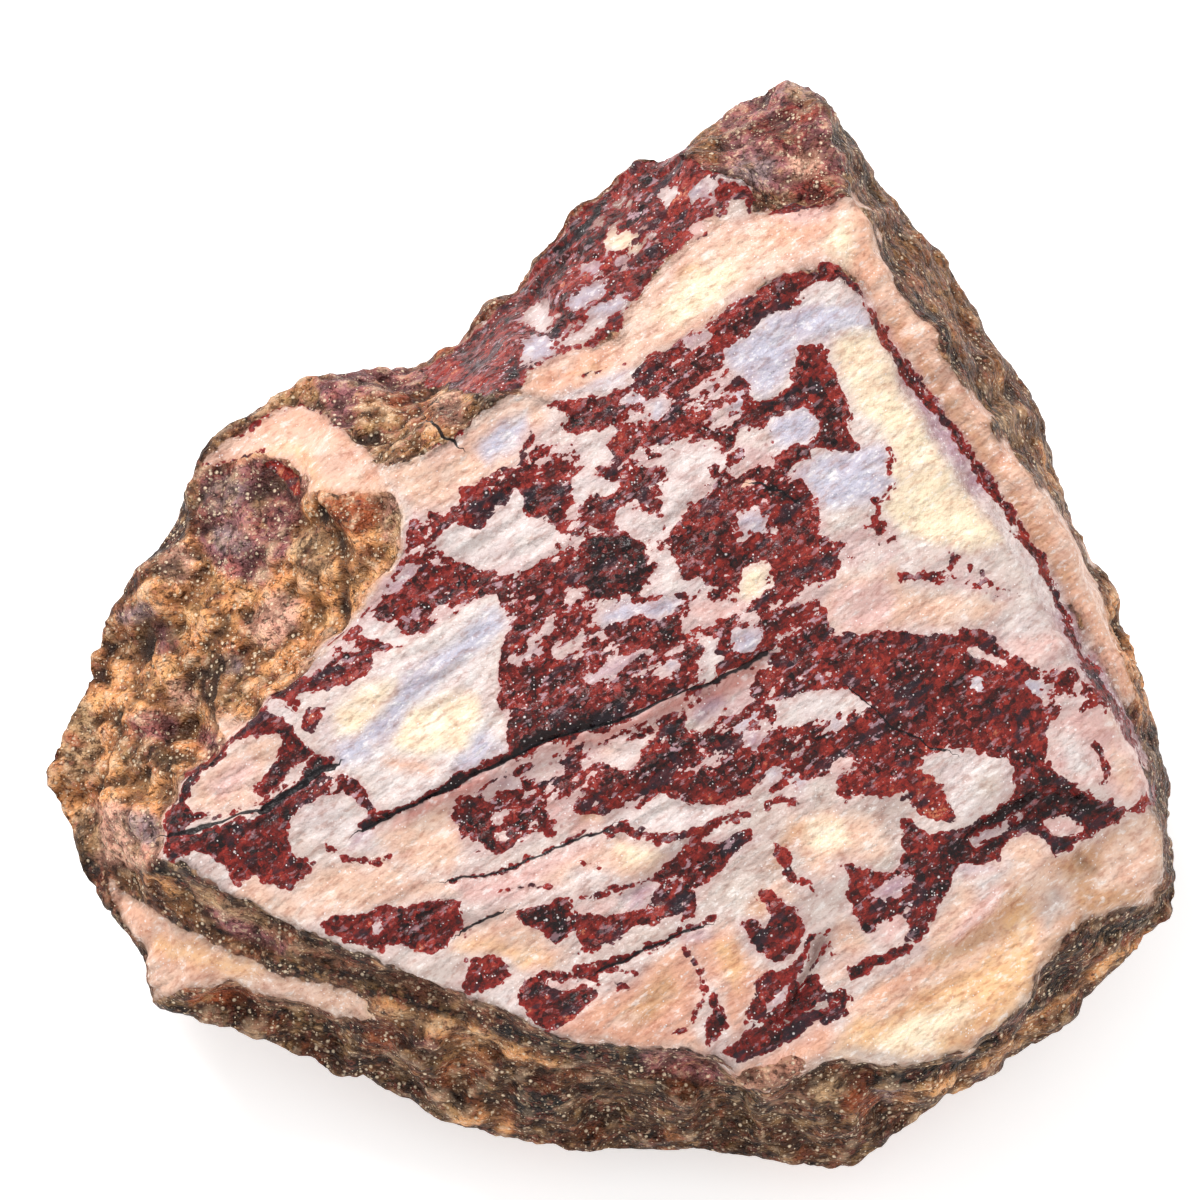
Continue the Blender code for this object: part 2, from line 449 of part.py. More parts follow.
def front_sheet(rng):
    """The seen side as a mesh whose x, y and z are across, up and out. Also gives its outline's vertices."""
    outline = [wander(point) for point in smooth_line(OUTLINE, closed=True)]
    sharp = sharp_lines()
    soft = soft_lines()
    points = list(outline)
    edges = [(i, (i + 1) % len(outline)) for i in range(len(outline))]
    for line in sharp + soft:
        first = len(points)
        points += line
        edges += [(first + i, first + i + 1) for i in range(len(line) - 1)]
        if line is sharp[-1]:
            sharp_end = len(points)
    placed = len(points)
    lowest = min(point[2] for point in points)
    points += [(u, v, lowest) for u, v in scatter(outline, sharp + soft, rng)]
    flat, _, triangles, origin, _, _ = delaunay_2d_cdt(
        [Vector(point[:2]) for point in points], edges, [], 1, 1e-4, True
    )
    bm = bmesh.new()
    verts = []
    kept = []
    let_go = []
    for co, sources in zip(flat, origin):
        source = min(sources) if sources else placed
        out = points[source][2]
        vert = bm.verts.new((co.x, co.y, out))
        verts.append(vert)
        if source >= placed:
            let_go.append(vert)
        elif source < sharp_end:
            kept.append(vert)
    for triangle in triangles:
        corners = [verts[i] for i in triangle]
        middle = sum((vert.co for vert in corners), Vector()) / 3
        if inside(outline, middle.x, middle.y):
            bm.faces.new(corners)
    # Points between the lines rise to the level that the lines around them set.
    free = let_go
    for _ in range(HIDDEN_SMOOTHING * 6):
        bmesh.ops.smooth_vert(bm, verts=free, factor=1.0, use_axis_z=True)
    fixed = set(kept)
    free = [vert for vert in bm.verts if vert not in fixed]
    for _ in range(RELEASED_SMOOTHING):
        bmesh.ops.smooth_vert(bm, verts=free, factor=0.5, use_axis_z=True)
    rim = [verts[next(i for i, s in enumerate(origin) if index in s)] for index in range(len(outline))]
    return bm, rim


def fresh_break():
    """The closed line round the freshly broken stone: the face, its ledges and the tip."""
    lower = [*FACE_SEAM, *FACE_RIM, *reversed(LEDGE_EDGE)]
    upper = [*TIP_ARRIS, *reversed(TIP_CROWN), *reversed(RED_SHOULDER), FACE_TOP[0]]
    return [point[:2] for point in lower + upper]


def crust_share(fresh, u, v):
    """0 on the fresh break, rising to 1 on the weathered crust."""
    if inside(fresh, u, v):
        return 0.0
    return min(1.0, distance_to_line(fresh + fresh[:1], u, v) / 1.2)


def dome(u, v, middle_u, middle_v, radius, height):
    share = math.hypot(u - middle_u, v - middle_v) / radius
    return height * (1 - share * share) if share < 1 else 0.0


def fresh_relief(u, v):
    """How far the fresh break's swells, ridges and chips lift it. The ridges climb to the right."""
    along = u * math.cos(RIDGE_CLIMB) + v * math.sin(RIDGE_CLIMB)
    across = v * math.cos(RIDGE_CLIMB) - u * math.sin(RIDGE_CLIMB)
    swell = 0.45 * noise.noise(Vector((u / 6.5, v / 6.5, 3.0)))
    ridges = 0.5 * noise.noise(Vector((along / 8.0, across / 2.5, 5.0)))
    chips = 0.4 * (0.5 - noise.voronoi(Vector((u / 3.4, v / 2.6, 7.0)))[0][0])
    return swell + ridges + chips


def crust_relief(place):
    """How far the weathered crust's layers and grain lift it. They mostly cut in."""
    layers = 1.3 * noise.noise(Vector((place.x / 9.0, place.y / 14.0, place.z / 2.6)))
    grain = 0.7 * noise.noise(place / 2.4)
    lumps = 0.7 * (0.5 - noise.voronoi(place / 3.2)[0][0])
    return layers + grain + lumps - 0.4


def shape_front(bm, rim, seen):
    """Raises the sheet's relief along its normals, fading to nothing at its outline."""
    fresh = fresh_break()
    near = KDTree(len(rim))
    for index, vert in enumerate(rim):
        near.insert(vert.co, index)
    near.balance()
    bm.normal_update()
    moves = []
    for vert, (u, v) in seen.items():
        crust = crust_share(fresh, u, v)
        lift = (1 - crust) * fresh_relief(u, v) + crust * crust_relief(vert.co)
        lift += sum(dome(u, v, *lump) for lump in OCHRE_LUMPS + WALL_LUMPS)
        lift -= sum(dome(u, v, *pit) for pit in PITS)
        fade = min(1.0, near.find(vert.co)[2] / 2.2)
        moves.append(vert.normal * lift * fade)
    for vert, move in zip(seen, moves):
        vert.co += move


def to_stone(point):
    """From across, up and out to the stone's own frame, along the line of sight."""
    u, v, out = point
    reach = (VIEW_DISTANCE - out) / VIEW_DISTANCE
    rise = math.cos(VIEW_ELEVATION)
    run = math.sin(VIEW_ELEVATION)
    return VIEW_CENTRE + Vector((u * reach, v * reach * run - out * rise, v * reach * rise + out * run))


def foot_point(angle):
    """The point of the foot's outline in that direction from the origin."""
    far = Vector((math.cos(angle), math.sin(angle))) * 100
    for start, end in zip(FOOT_CORNERS, FOOT_CORNERS[1:] + FOOT_CORNERS[:1]):
        met = intersect_line_line_2d(Vector((0, 0)), far, Vector(start), Vector(end))
        if met:
            return met
    raise ValueError("the foot's corners don't go round the origin")


def ring_point(rim_points, share, turn):
    """A point of the back: share is how far round the outline, turn how far down to the foot, each 0 to 1."""
    place = share * len(rim_points)
    index = int(place)
    start = rim_points[index % len(rim_points)]
    end = rim_points[(index + 1) % len(rim_points)]
    top = start.lerp(end, place - index)
    foot = foot_point(math.atan2(top.y, top.x))
    inward = (1 - math.cos(turn * BACK_TURN)) / (1 - math.cos(BACK_TURN))
    down = math.sin(turn * BACK_TURN) / math.sin(BACK_TURN)
    flat = Vector((top.x, top.y)).lerp(foot, inward)
    return Vector((flat.x, flat.y, top.z * (1 - down)))


def planed(places, fades):
    """The back's points moved onto the flats that it broke along, by each point's own share."""
    for azimuth, dip, depth in BREAK_FLATS:
        level = math.cos(math.radians(dip))
        turn = math.radians(azimuth)
        facing = Vector((level * math.sin(turn), -level * math.cos(turn), -math.sin(math.radians(dip))))
        limit = max(place.dot(facing) for place in places) - depth
        for index, place in enumerate(places):
            beyond = place.dot(facing) - limit
            if beyond > 0:
                places[index] = place - facing * beyond * fades[index]
    return places


def weathered(place, fade):
    """The point with the back's weathering taken off it."""
    outward = Vector((place.x, place.y, 0.6 * (place.z - 16.0))).normalized()
    broad = noise.noise(place / 8.0 + Vector((4.0, 1.0, 2.0)))
    chips = noise.voronoi(place / 4.2)[0][0] - 0.5
    rough = noise.noise(place / 2.3)
    return place + outward * fade * (1.0 * broad - 1.1 * chips + 0.7 * rough - 0.5)


def stitch(bm, upper, lower):
    """Faces between two closed rings of vertices that may differ in number."""
    i = 0
    j = 0
    while i < len(upper) or j < len(lower):
        take_upper = j == len(lower) or (i < len(upper) and (i + 0.5) / len(upper) <= (j + 0.5) / len(lower))
        a = upper[i % len(upper)]
        b = lower[j % len(lower)]
        if take_upper:
            bm.faces.new((a, upper[(i + 1) % len(upper)], b))
            i += 1
        else:
            bm.faces.new((a, lower[(j + 1) % len(lower)], b))
            j += 1


def back_rings(bm, rim):
    """Rings of points from the outline down to the foot, and the flat foot itself."""
    rim_points = [vert.co.copy() for vert in rim]
    verts = []
    fades = []
    upper = rim
    for ring in range(1, BACK_RINGS + 1):
        turn = ring / BACK_RINGS
        track = [ring_point(rim_points, i / 90, turn) for i in range(90)]
        length = sum((b - a).length for a, b in zip(track, track[1:] + track[:1]))
        count = max(24, min(len(upper), round(length / BACK_SPACING)))
        lower = [bm.verts.new(ring_point(rim_points, index / count, turn)) for index in range(count)]
        stitch(bm, upper, lower)
        verts += lower
        fades += [min(1.0, 3 * turn) * min(1.0, 4 * (1 - turn))] * count
        upper = lower
    bm.faces.new(upper)
    places = planed([vert.co.copy() for vert in verts], fades)
    for vert, place, fade in zip(verts, places, fades):
        vert.co = weathered(place, fade)


def jasper_material():
    """Dull red stone."""
    material = bpy.data.materials.new("jasper")
    material.use_nodes = True
    shader = material.node_tree.nodes["Principled BSDF"]
    shader.inputs["Base Color"].default_value = (0.36, 0.13, 0.10, 1.0)
    shader.inputs["Roughness"].default_value = 0.45
    shader.inputs["Metallic"].default_value = 0.0
    return material


def build_stone():
    rng = random.Random(SEED)
    bm, rim = front_sheet(rng)
    seen = {vert: vert.co.xy for vert in bm.verts}
    for vert in bm.verts:
        vert.co = to_stone(vert.co)
    shape_front(bm, rim, seen)
    back_rings(bm, rim)
    bmesh.ops.triangulate(bm, faces=[face for face in bm.faces if len(face.verts) > 3])
    bmesh.ops.recalc_face_normals(bm, faces=bm.faces)
    bmesh.ops.scale(bm, vec=(MM, MM, MM), verts=bm.verts)
    mesh = bpy.data.meshes.new("stone")
    bm.to_mesh(mesh)
    bm.free()
    mesh.materials.append(jasper_material())
    stone = bpy.data.objects.new("stone", mesh)
    bpy.context.scene.collection.objects.link(stone)
    mesh.shade_smooth()
    mesh.set_sharp_from_angle(angle=math.radians(35))
    return stone


for old in list(bpy.data.objects):
    bpy.data.objects.remove(old)
build_stone()
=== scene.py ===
import math

import bmesh
import bpy
import numpy as np
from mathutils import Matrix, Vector, noise


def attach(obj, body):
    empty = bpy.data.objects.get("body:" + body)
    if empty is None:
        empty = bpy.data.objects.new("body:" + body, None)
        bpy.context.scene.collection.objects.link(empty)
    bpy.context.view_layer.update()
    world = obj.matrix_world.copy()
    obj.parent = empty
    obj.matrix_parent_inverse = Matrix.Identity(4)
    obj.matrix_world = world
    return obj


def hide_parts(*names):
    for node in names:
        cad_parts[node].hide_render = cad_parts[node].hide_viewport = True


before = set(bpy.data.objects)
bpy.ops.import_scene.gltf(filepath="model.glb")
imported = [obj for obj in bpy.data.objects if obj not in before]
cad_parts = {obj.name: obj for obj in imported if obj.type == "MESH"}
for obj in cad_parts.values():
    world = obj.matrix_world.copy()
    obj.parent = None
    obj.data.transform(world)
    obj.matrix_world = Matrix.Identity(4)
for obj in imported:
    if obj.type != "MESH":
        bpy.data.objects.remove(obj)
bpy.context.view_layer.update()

# Stone
# One rock, a palm-sized wedge of jasper. It was broken across on top and kept its own weathered brown
# crust at the sides and the back. Nothing is fixed to it, and it lies loose on a small flat spot of
# its back.

# Form: the plain solid, cut finer where it is seen and rounded but for its broken edges
MM = 0.001
MM_IN_A_METRE = 1000
LOOK_ELEVATION = math.radians(62)
EYE_DISTANCE = 400.0
VIEW_CENTRE = Vector((-0.85, -2.67, 24.0))
UP_THE_BREAK = Vector((0, math.sin(LOOK_ELEVATION), math.cos(LOOK_ELEVATION)))
OUT_OF_BREAK = Vector((0, -math.cos(LOOK_ELEVATION), math.sin(LOOK_ELEVATION)))
STREAK_CLIMB = math.radians(35)
SAME_CORNER = 2e-6
KEPT_EDGE = math.radians(32)
FOOT_LEVEL = 0.25
TURNING_AWAY = 0.2
# Each round of cutting: how much it is smoothed, and the longest edge kept, seen and hidden.
ROUNDS = ((0.5, 0.5, 1.3), (0.35, 0.38, 1.1), (0.2, 0.4, 1.1))


def seen_place(point):
    """Across, up and out of the break, in millimetres, of a point of the stone in metres."""
    away = point / MM - VIEW_CENTRE
    out = away.dot(OUT_OF_BREAK)
    reach = (EYE_DISTANCE - out) / EYE_DISTANCE
    return away.x / reach, away.dot(UP_THE_BREAK) / reach, out


def fine_copy(solid):
    """The solid's mesh cut finer where it is seen, and rounded but for its broken edges."""
    bm = bmesh.new()
    bm.from_mesh(solid.data)
    bmesh.ops.remove_doubles(bm, verts=bm.verts, dist=SAME_CORNER)
    for strength, seen_length, hidden_length in ROUNDS:
        sharp = set()
        long = []
        for edge in bm.edges:
            if edge.calc_face_angle(0) > KEPT_EDGE:
                sharp.update(edge.verts)
            turned = max(face.normal.dot(OUT_OF_BREAK) for face in edge.link_faces)
            if edge.calc_length() / MM > (seen_length if turned > 0 else hidden_length):
                long.append(edge)
        bmesh.ops.subdivide_edges(bm, edges=long, cuts=1, use_grid_fill=True)
        bmesh.ops.triangulate(bm, faces=[face for face in bm.faces if len(face.verts) > 3])
        above = {vert for vert in bm.verts if vert.co.z > FOOT_LEVEL * MM}
        rounded = list(above - sharp)
        bmesh.ops.smooth_vert(
            bm, verts=rounded, factor=strength, use_axis_x=True, use_axis_y=True, use_axis_z=True
        )
    mesh = bpy.data.meshes.new("stone_surface")
    bm.to_mesh(mesh)
    bm.free()
    return mesh


stone_mesh = fine_copy(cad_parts["stone"])
seen = np.array([seen_place(vert.co) for vert in stone_mesh.vertices])
across, up, out = seen.T
normals = np.array([normal.vector for normal in stone_mesh.vertex_normals])
facing = normals @ np.array(OUT_OF_BREAK)
in_sight = np.clip(facing / TURNING_AWAY + 0.5, 0, 1)
places = np.array([vert.co for vert in stone_mesh.vertices]) / MM
along = across * math.cos(STREAK_CLIMB) + up * math.sin(STREAK_CLIMB)
over = up * math.cos(STREAK_CLIMB) - across * math.sin(STREAK_CLIMB)
lie_of_stone = np.stack([along, over, out], 1)

# Markings: red jasper, broken up and healed with pale chalcedony in ice blue, cream and yellow, inside
# the crust. A patch is a loop of points, across and up the break in millimetres, and a stroke is a
# width with a line of points. Later marks lie over earlier ones.

# Pale paints push the red back, red ones say how bright it is, mixes have a level and an unevenness,
# and crust paints say how lumpy they are.
PAINTS = {
    "white": ("pale", (222, 208, 204)),
    "ice": ("pale", (192, 188, 203)),
    "milk": ("pale", (216, 198, 190)),
    "grey": ("pale", (202, 184, 174)),
    "lilac": ("pale", (184, 154, 166)),
    "rose": ("pale", (226, 186, 178)),
    "cream": ("pale", (229, 190, 167)),
    "yellow": ("pale", (248, 228, 196)),
    "peach": ("pale", (226, 172, 144)),
    "orange": ("pale", (240, 192, 144)),
    "tan": ("pale", (204, 156, 118)),
    "bark": ("pale", (92, 66, 52)),
    "lip": ("pale", (204, 118, 102)),
    "red": ("red", 0.0),
    "blood": ("red", 1.0),
    "maroon": ("red", -0.6),
    "ink": ("red", -3.0),
    "black": ("red", -1.0),
    "thin": ("mix", -0.3, 0.7),
    "mottle": ("mix", 0.1, 0.8),
    "thick": ("mix", 0.45, 0.7),
    "ochre": ("crust", (246, 172, 112), 1.0),
    "amber": ("crust", (248, 178, 116), 0.8),
    "blush": ("crust", (246, 188, 164), 0.7),
    "moss": ("crust", (170, 120, 80), 1.0),
    "buff": ("crust", (246, 212, 170), 0.3),
    "brown": ("crust", (104, 68, 42), 0.35),
    "dark": ("crust", (44, 32, 26), 0.3),
    "umber": ("crust", (152, 100, 56), 0.4),
    "rust": ("crust", (186, 100, 60), 0.5),
    "plum": ("crust", (172, 110, 114), 0.7),
    "brick": ("crust", (158, 66, 64), 0.5),
    "mist": ("crust", (192, 168, 176), 0.4),
    "clay": ("crust", (184, 140, 114), 0.4),
}

MARKS = [
    # Upper left side
    ("ochre", ((-24.6, 7.6), (-24.4, 5.5), (-24.3, 4.1), (-26, 2.5), (-28.5, 0), (-30.4, -1.6),
        (-31.4, -5), (-33, -9), (-33, -12), (-31.6, -14.4), (-26, -14.2), (-25, -10.8), (-21.2, -7.3),
        (-18, -4.4), (-15, -1.2), (-12.4, 1.8), (-11.6, 5), (-13.1, 7.8), (-17, 10.8), (-21, 9.8))),
    ("brown", ((-25, 8), (-24.6, 4.4), (-26.2, 2.8), (-28.4, 0.4), (-30, -1.4), (-31.4, -1), (-29, 3),
        (-26.4, 7))),
    ("brown", ((-9.9, 15.6), (-13.4, 15), (-17.2, 14.6), (-20.5, 13), (-23, 11), (-25, 9), (-24.4, 7.8),
        (-22.7, 9.4), (-20.8, 10.5), (-19, 11.4), (-17, 12), (-13, 13.6), (-10, 14.4))),
    ("moss", ((-21.4, 10.7), (-19.6, 12.4), (-17.6, 13.6), (-15.8, 13.9), (-16.6, 12.2), (-18, 11.8),
        (-19.4, 11.2))),
    ("plum", ((-17.2, 13.4), (-14, 14.2), (-12, 14.5), (-10, 14.2), (-10.6, 13), (-12.5, 12),
        (-13.4, 11), (-14.5, 11.2), (-15.2, 10.2), (-16.3, 11.1))),
    ("moss", ((-14.4, 12), (-13, 12.2), (-11.4, 11.6), (-10.6, 10.6), (-11.6, 9.2), (-12.6, 8.2),
        (-13, 7.7), (-14, 8.9), (-14.8, 10.2))),
    ("rust", ((-12.4, 12.6), (-11.6, 12.2), (-11, 11), (-11.8, 10.8), (-12.8, 11.6))),
    ("cream", ((-24.2, 7.9), (-22.7, 9.3), (-20.8, 10.4), (-19, 11.2), (-18, 11.7), (-17.3, 11.4),
        (-16.5, 10.8), (-15.5, 10.2), (-14.6, 9.4), (-13.6, 8.4), (-13.1, 7.8), (-12.2, 6.6),
        (-13.4, 6.2), (-14.6, 6), (-16.6, 6.4), (-17.6, 6.6), (-18, 7.8), (-18.9, 8.5), (-20.3, 8.8),
        (-22, 8.3))),
    ("peach", 0.8, ((-20.6, 10), (-18.4, 11.1), (-17, 10.7), (-15.6, 9.6), (-14.6, 8.4), (-13.6, 7.4))),
    ("orange", 0.5, ((-19.4, 9), (-18.4, 9.2), (-17.6, 8.4), (-17, 7.2))),
    ("red", 0.22, ((-23.8, 8.6), (-22.6, 9.5), (-20.8, 10.5), (-19.2, 11.4), (-18.4, 12), (-17.6, 11.7),
        (-16.5, 11), (-15.6, 10.4))),
    ("plum", ((-24.4, 7.6), (-23.2, 8.1), (-22, 8.1), (-20.3, 8.5), (-18.9, 8.4), (-18, 7.8),
        (-17.5, 7), (-17.8, 6), (-18, 4.6), (-18.2, 3.2), (-19, 2.4), (-19.8, 2.2), (-19.7, 1.5),
        (-20.3, 0.6), (-21, 0.9), (-22, 1.2), (-22.8, 1.8), (-23.6, 2.7), (-24.2, 3.6))),
    ("mist", ((-24, 6.8), (-22.6, 7.4), (-21.4, 6.8), (-22, 5.6), (-23.6, 5.2))),
    ("mist", ((-23.4, 4.4), (-22, 4.6), (-20.8, 3.4), (-21.6, 2.6), (-23, 3.2))),
    ("buff", ((-21, 5.8), (-20.4, 6.3), (-19.8, 5.8), (-20.3, 5.2))),
    ("red", 0.3, ((-24.2, 7.8), (-22.8, 8.3), (-21.6, 8.3), (-20, 8.9))),
    ("blood", ((-20.4, 8.4), (-19, 8.5), (-18.2, 8), (-17.6, 7.1), (-17.8, 6.2), (-18.5, 6.2),
        (-19.2, 7.2))),
    ("amber", ((-18.6, 4.3), (-17.6, 5), (-16.6, 4.6), (-15.6, 4.4), (-15.8, 2.2), (-17, 1),
        (-18.4, 1.6))),
    ("buff", ((-18.5, 3.2), (-17.8, 4.3), (-16.8, 4.2), (-16.2, 2.8), (-16.6, 1.6), (-17.8, 1.4))),
    ("rust", ((-16.6, 6), (-15, 6.4), (-13.2, 6), (-13, 4.4), (-14.6, 3.8), (-16, 4.2))),
    ("blush", ((-13.2, 6.4), (-12.2, 6.2), (-11.6, 4.4), (-12, 3), (-13, 3.6), (-13.2, 5))),
    ("buff", ((-13, 5), (-12, 5.6), (-11.6, 4.4), (-12.2, 3.6))),
    ("moss", ((-15, 2.6), (-13.8, 3), (-13.2, 2), (-14.2, 1.4))),
    ("amber", ((-17.4, 0.8), (-15.6, 1.4), (-14.4, 0.4), (-15.6, -1.2), (-17.6, -2), (-19, -1))),
    ("blush", ((-20.6, -0.4), (-19.4, 0.6), (-18, 0), (-18, -1.6), (-19.4, -3), (-20.8, -2.6),
        (-21.4, -1.4))),
    ("amber", ((-24, 0.8), (-22.4, 0.8), (-21.6, -1), (-22.2, -2.6), (-24, -2.4), (-24.8, -0.6))),
    ("dark", ((-21.9, -0.7), (-21.2, -0.4), (-20.9, -1), (-21.5, -1.5))),
    ("blush", ((-26.6, 2.2), (-25, 3.4), (-24.2, 2.6), (-24.8, 1.2), (-26, 0.8))),
    ("mist", ((-29, -0.6), (-27.4, 0), (-26.4, -0.8), (-27.6, -1.6), (-29, -1.6))),
    ("moss", ((-30.2, -1.4), (-28.2, -1.2), (-26, -1.8), (-24.6, -1.6), (-25.2, -3.2), (-27.6, -3.4),
        (-30, -3.8))),
    ("plum", ((-27, -1.4), (-26, -1.2), (-25.4, -2.4), (-26.4, -3))),
    ("amber", ((-29.6, -5), (-28, -4.2), (-26.6, -5), (-27.2, -6.2), (-29, -6))),
    ("moss", ((-25, -3.4), (-23, -3), (-21, -4.2), (-20.6, -6), (-22.6, -6.4), (-24.6, -5.2))),
    ("mist", ((-22.8, -3.4), (-21.8, -3.2), (-21.4, -4.2), (-22.4, -4.4))),
    ("blush", ((-26, -5), (-24.8, -4.8), (-24, -6.4), (-24.8, -7), (-26, -6.4))),
    ("plum", ((-28.4, -7), (-26.6, -6.6), (-25.2, -7.4), (-26, -8.6), (-28, -8.2))),
    ("moss", ((-29.4, -7.4), (-27.6, -8.4), (-26, -8.8), (-25.4, -10.4), (-27.4, -11), (-29, -9.6))),
    ("buff", ((-32.4, -8), (-31.4, -5.6), (-30.6, -6.4), (-30, -8.6), (-30.6, -10.8), (-32, -11))),
    ("rust", ((-32, -8.2), (-31.4, -7.8), (-31, -8.6), (-31.8, -9))),
    ("amber", ((-28, -11), (-26.2, -10.6), (-25.6, -12), (-27, -12.8), (-28.4, -12.2))),
    ("cream", ((-23.3, -6.9), (-22.4, -6.7), (-21.2, -7.4), (-21.6, -8), (-22.3, -8.3), (-23, -7.6))),
    ("plum", ((-24, -7.6), (-23.2, -7.8), (-22.6, -8.6), (-23.4, -9.2), (-24.2, -8.4))),
    ("blush", ((-30.4, -12.2), (-29, -12), (-27, -12.8), (-26, -13.6), (-26.2, -15.6), (-28, -16),
        (-30.6, -15.8), (-31.4, -14))),
    ("buff", ((-31.4, -12.8), (-30.4, -12.6), (-29.8, -14.4), (-30.6, -15.8), (-31.4, -15))),
    ("mist", ((-28.4, -12.8), (-27, -12.8), (-26.2, -13.8), (-27, -14.8), (-28.2, -14))),
    ("maroon", 0.35, ((-29, -14.4), (-28.2, -14.8), (-27.4, -15.2))),
    # Red slope over the top left, and the cream bench under it
    ("red", ((-12, 14.6), (-10, 13), (-8, 12.4), (-7, 12), (-5.4, 12.4), (-4.4, 13.4), (-2.4, 14.8),
        (0, 15.5), (1.3, 16.2), (1.9, 17.7), (3.2, 19.4), (4.4, 20.9), (6.2, 21.8), (6.6, 22.7),
        (8, 23.2), (9.4, 23.2), (9.2, 24.8), (7, 26), (4, 27.4), (1, 27), (-3, 24), (-6, 20),
        (-8, 18.4), (-10, 16.6))),
    ("thick", ((-8, 13.2), (-6.4, 12.6), (-4.2, 13.8), (-1.6, 15.4), (0.8, 16.6), (1.6, 19), (3.6, 21),
        (5.6, 22), (6.4, 23.4), (5, 26), (3, 25.4), (0, 23.6), (-2, 21), (-4.4, 18.6), (-6.4, 16))),
    ("rust", 1.1, ((-11, 14.4), (-9.4, 15.2), (-7.2, 17.3), (-5.2, 19.4), (-3.4, 21.8), (-1.4, 24),
        (1, 26))),
    ("umber", 0.6, ((-9, 15.9), (-7, 17.8), (-4.9, 20), (-3, 22.8), (-0.6, 25.1), (2, 27))),
    ("blood", ((-10.6, 14), (-9, 14.4), (-7, 13.4), (-7.6, 12.4), (-9.4, 12.9), (-10.8, 12.8))),
    ("amber", ((-11.2, 12.6), (-9.6, 12.9), (-8, 12.4), (-7.4, 11.4), (-8.2, 10.4), (-9, 10),
        (-10.2, 9), (-11.6, 8.4), (-12, 8.8), (-11, 9.8), (-10.4, 10.8), (-10.8, 11.6))),
    ("blush", ((-9.6, 12.6), (-8.4, 12.6), (-8, 11.4), (-8.6, 10.4), (-9.6, 10.6), (-10, 11.6))),
    ("rust", 0.5, ((-10.8, 12.4), (-10.2, 11.4), (-9.6, 10.6))),
    ("blood", 0.35, ((-8.4, 10.2), (-9.2, 9.9), (-10, 9.2))),
    ("white", ((-4.3, 17.2), (-3.9, 17.9), (-3.1, 17.8), (-2.7, 17), (-3, 16.4), (-3.6, 15.9),
        (-4.2, 16.4))),
    ("ice", ((-4.8, 15.4), (-3.6, 15.9), (-2.6, 15.6), (-2.8, 14.9), (-3.8, 14.3), (-5, 14.4))),
    ("white", ((-2.9, 15.4), (-2, 15.9), (-0.9, 16.6), (0, 16.9), (0.4, 16.5), (-0.6, 15.8),
        (-1.8, 15.1))),
    ("ice", ((-2.1, 17.7), (-1.6, 18.4), (-0.6, 18.7), (0.3, 19), (0.4, 18.4), (-0.6, 18),
        (-1.3, 17.4))),
    ("ice", ((-0.6, 17.2), (0.4, 17.9), (1.1, 18.4), (1.5, 18), (0.8, 17.3), (0, 16.9))),
    ("black", 0.35, ((-4.8, 15.9), (-3.4, 16), (-2.6, 16.4), (-1.2, 17.2), (-0.2, 17.6))),
    ("lilac", ((-1.1, 20.2), (-0.4, 20.5), (0.2, 20.1), (-0.3, 19.5), (-1, 19.6))),
    ("yellow", ((0, 21.2), (0.8, 22), (1.6, 22.3), (2.4, 21.8), (2.2, 21.1), (1, 20.9))),
    ("lilac", ((0.2, 20.4), (0.8, 20.9), (1.6, 20.8), (1.2, 20.1))),
    ("mottle", ((-0.4, 22.4), (0.2, 23.8), (1.2, 24.4), (2.4, 23.8), (2.2, 22.5), (0.8, 22))),
    ("black", ((0, 23.2), (0.8, 23.9), (1.6, 23.6), (1.2, 22.8), (0.4, 22.6))),
    ("white", ((3.4, 24), (3.8, 24.8), (4.6, 25.1), (5, 24.6), (4.2, 24), (3.8, 23.6))),
    ("blood", ((4.2, 24), (4.8, 24.9), (5.2, 25.9), (5.9, 25.7), (5.6, 24.2), (4.8, 23))),
    ("blood", ((3.2, 22.4), (3.8, 22.9), (4.8, 22.8), (4.6, 22), (3.6, 21.8))),
    ("maroon", 0.7, ((-5.4, 17), (-3, 19.2), (-0.6, 21.2), (1.4, 23.6), (3, 25.8))),
    ("ink", 0.4, ((-2.4, 20.8), (-1, 22.2), (0.4, 24))),
    ("blood", 0.5, ((-3.2, 18.6), (-1.4, 19), (0.6, 20.2), (2.4, 21.8))),
    ("lilac", ((5.9, 24.6), (6.3, 25.3), (6.9, 25), (6.8, 24), (6.3, 23.6))),
    ("mottle", ((6.6, 25), (7.4, 25.2), (7.8, 24), (7.2, 23.2), (6.2, 23), (6.6, 24))),
    ("white", ((6.2, 25), (6.8, 25.5), (7.4, 24.8), (6.8, 24.2))),
    ("ice", 0.22, ((5.5, 24.1), (5.8, 24.7))),
    ("white", 0.35, ((7.2, 25.5), (8, 25.1), (9.1, 24.7))),
    ("rose", ((5.2, 22.2), (5.8, 22.8), (6.6, 22.6), (6, 21.8), (5.4, 21.7))),
    ("cream", ((-5, 12.6), (-4.2, 13.5), (-3.2, 14.2), (-2.4, 14.8), (-1.3, 15.2), (0, 15.4),
        (0.8, 15.7), (1.3, 16.2), (1.4, 17), (1.9, 17.7), (2.3, 18.2), (2.6, 18.8), (3.2, 19.4),
        (4, 20.3), (4.4, 20.9), (5.2, 21.3), (6.2, 21.8), (6.6, 22.7), (8, 23.2), (9.6, 23.3),
        (11, 23.2), (12, 23.3), (13, 23.6), (14, 24), (15.2, 24.2), (16.4, 22.6), (17, 20.9),
        (17.8, 19.2), (16, 19.2), (14.4, 20.2), (12, 20), (10, 19.2), (8, 18), (6, 16.2), (4, 15.2),
        (2.2, 14.2), (1, 12.9), (-1, 12.9), (-3, 12.2))),
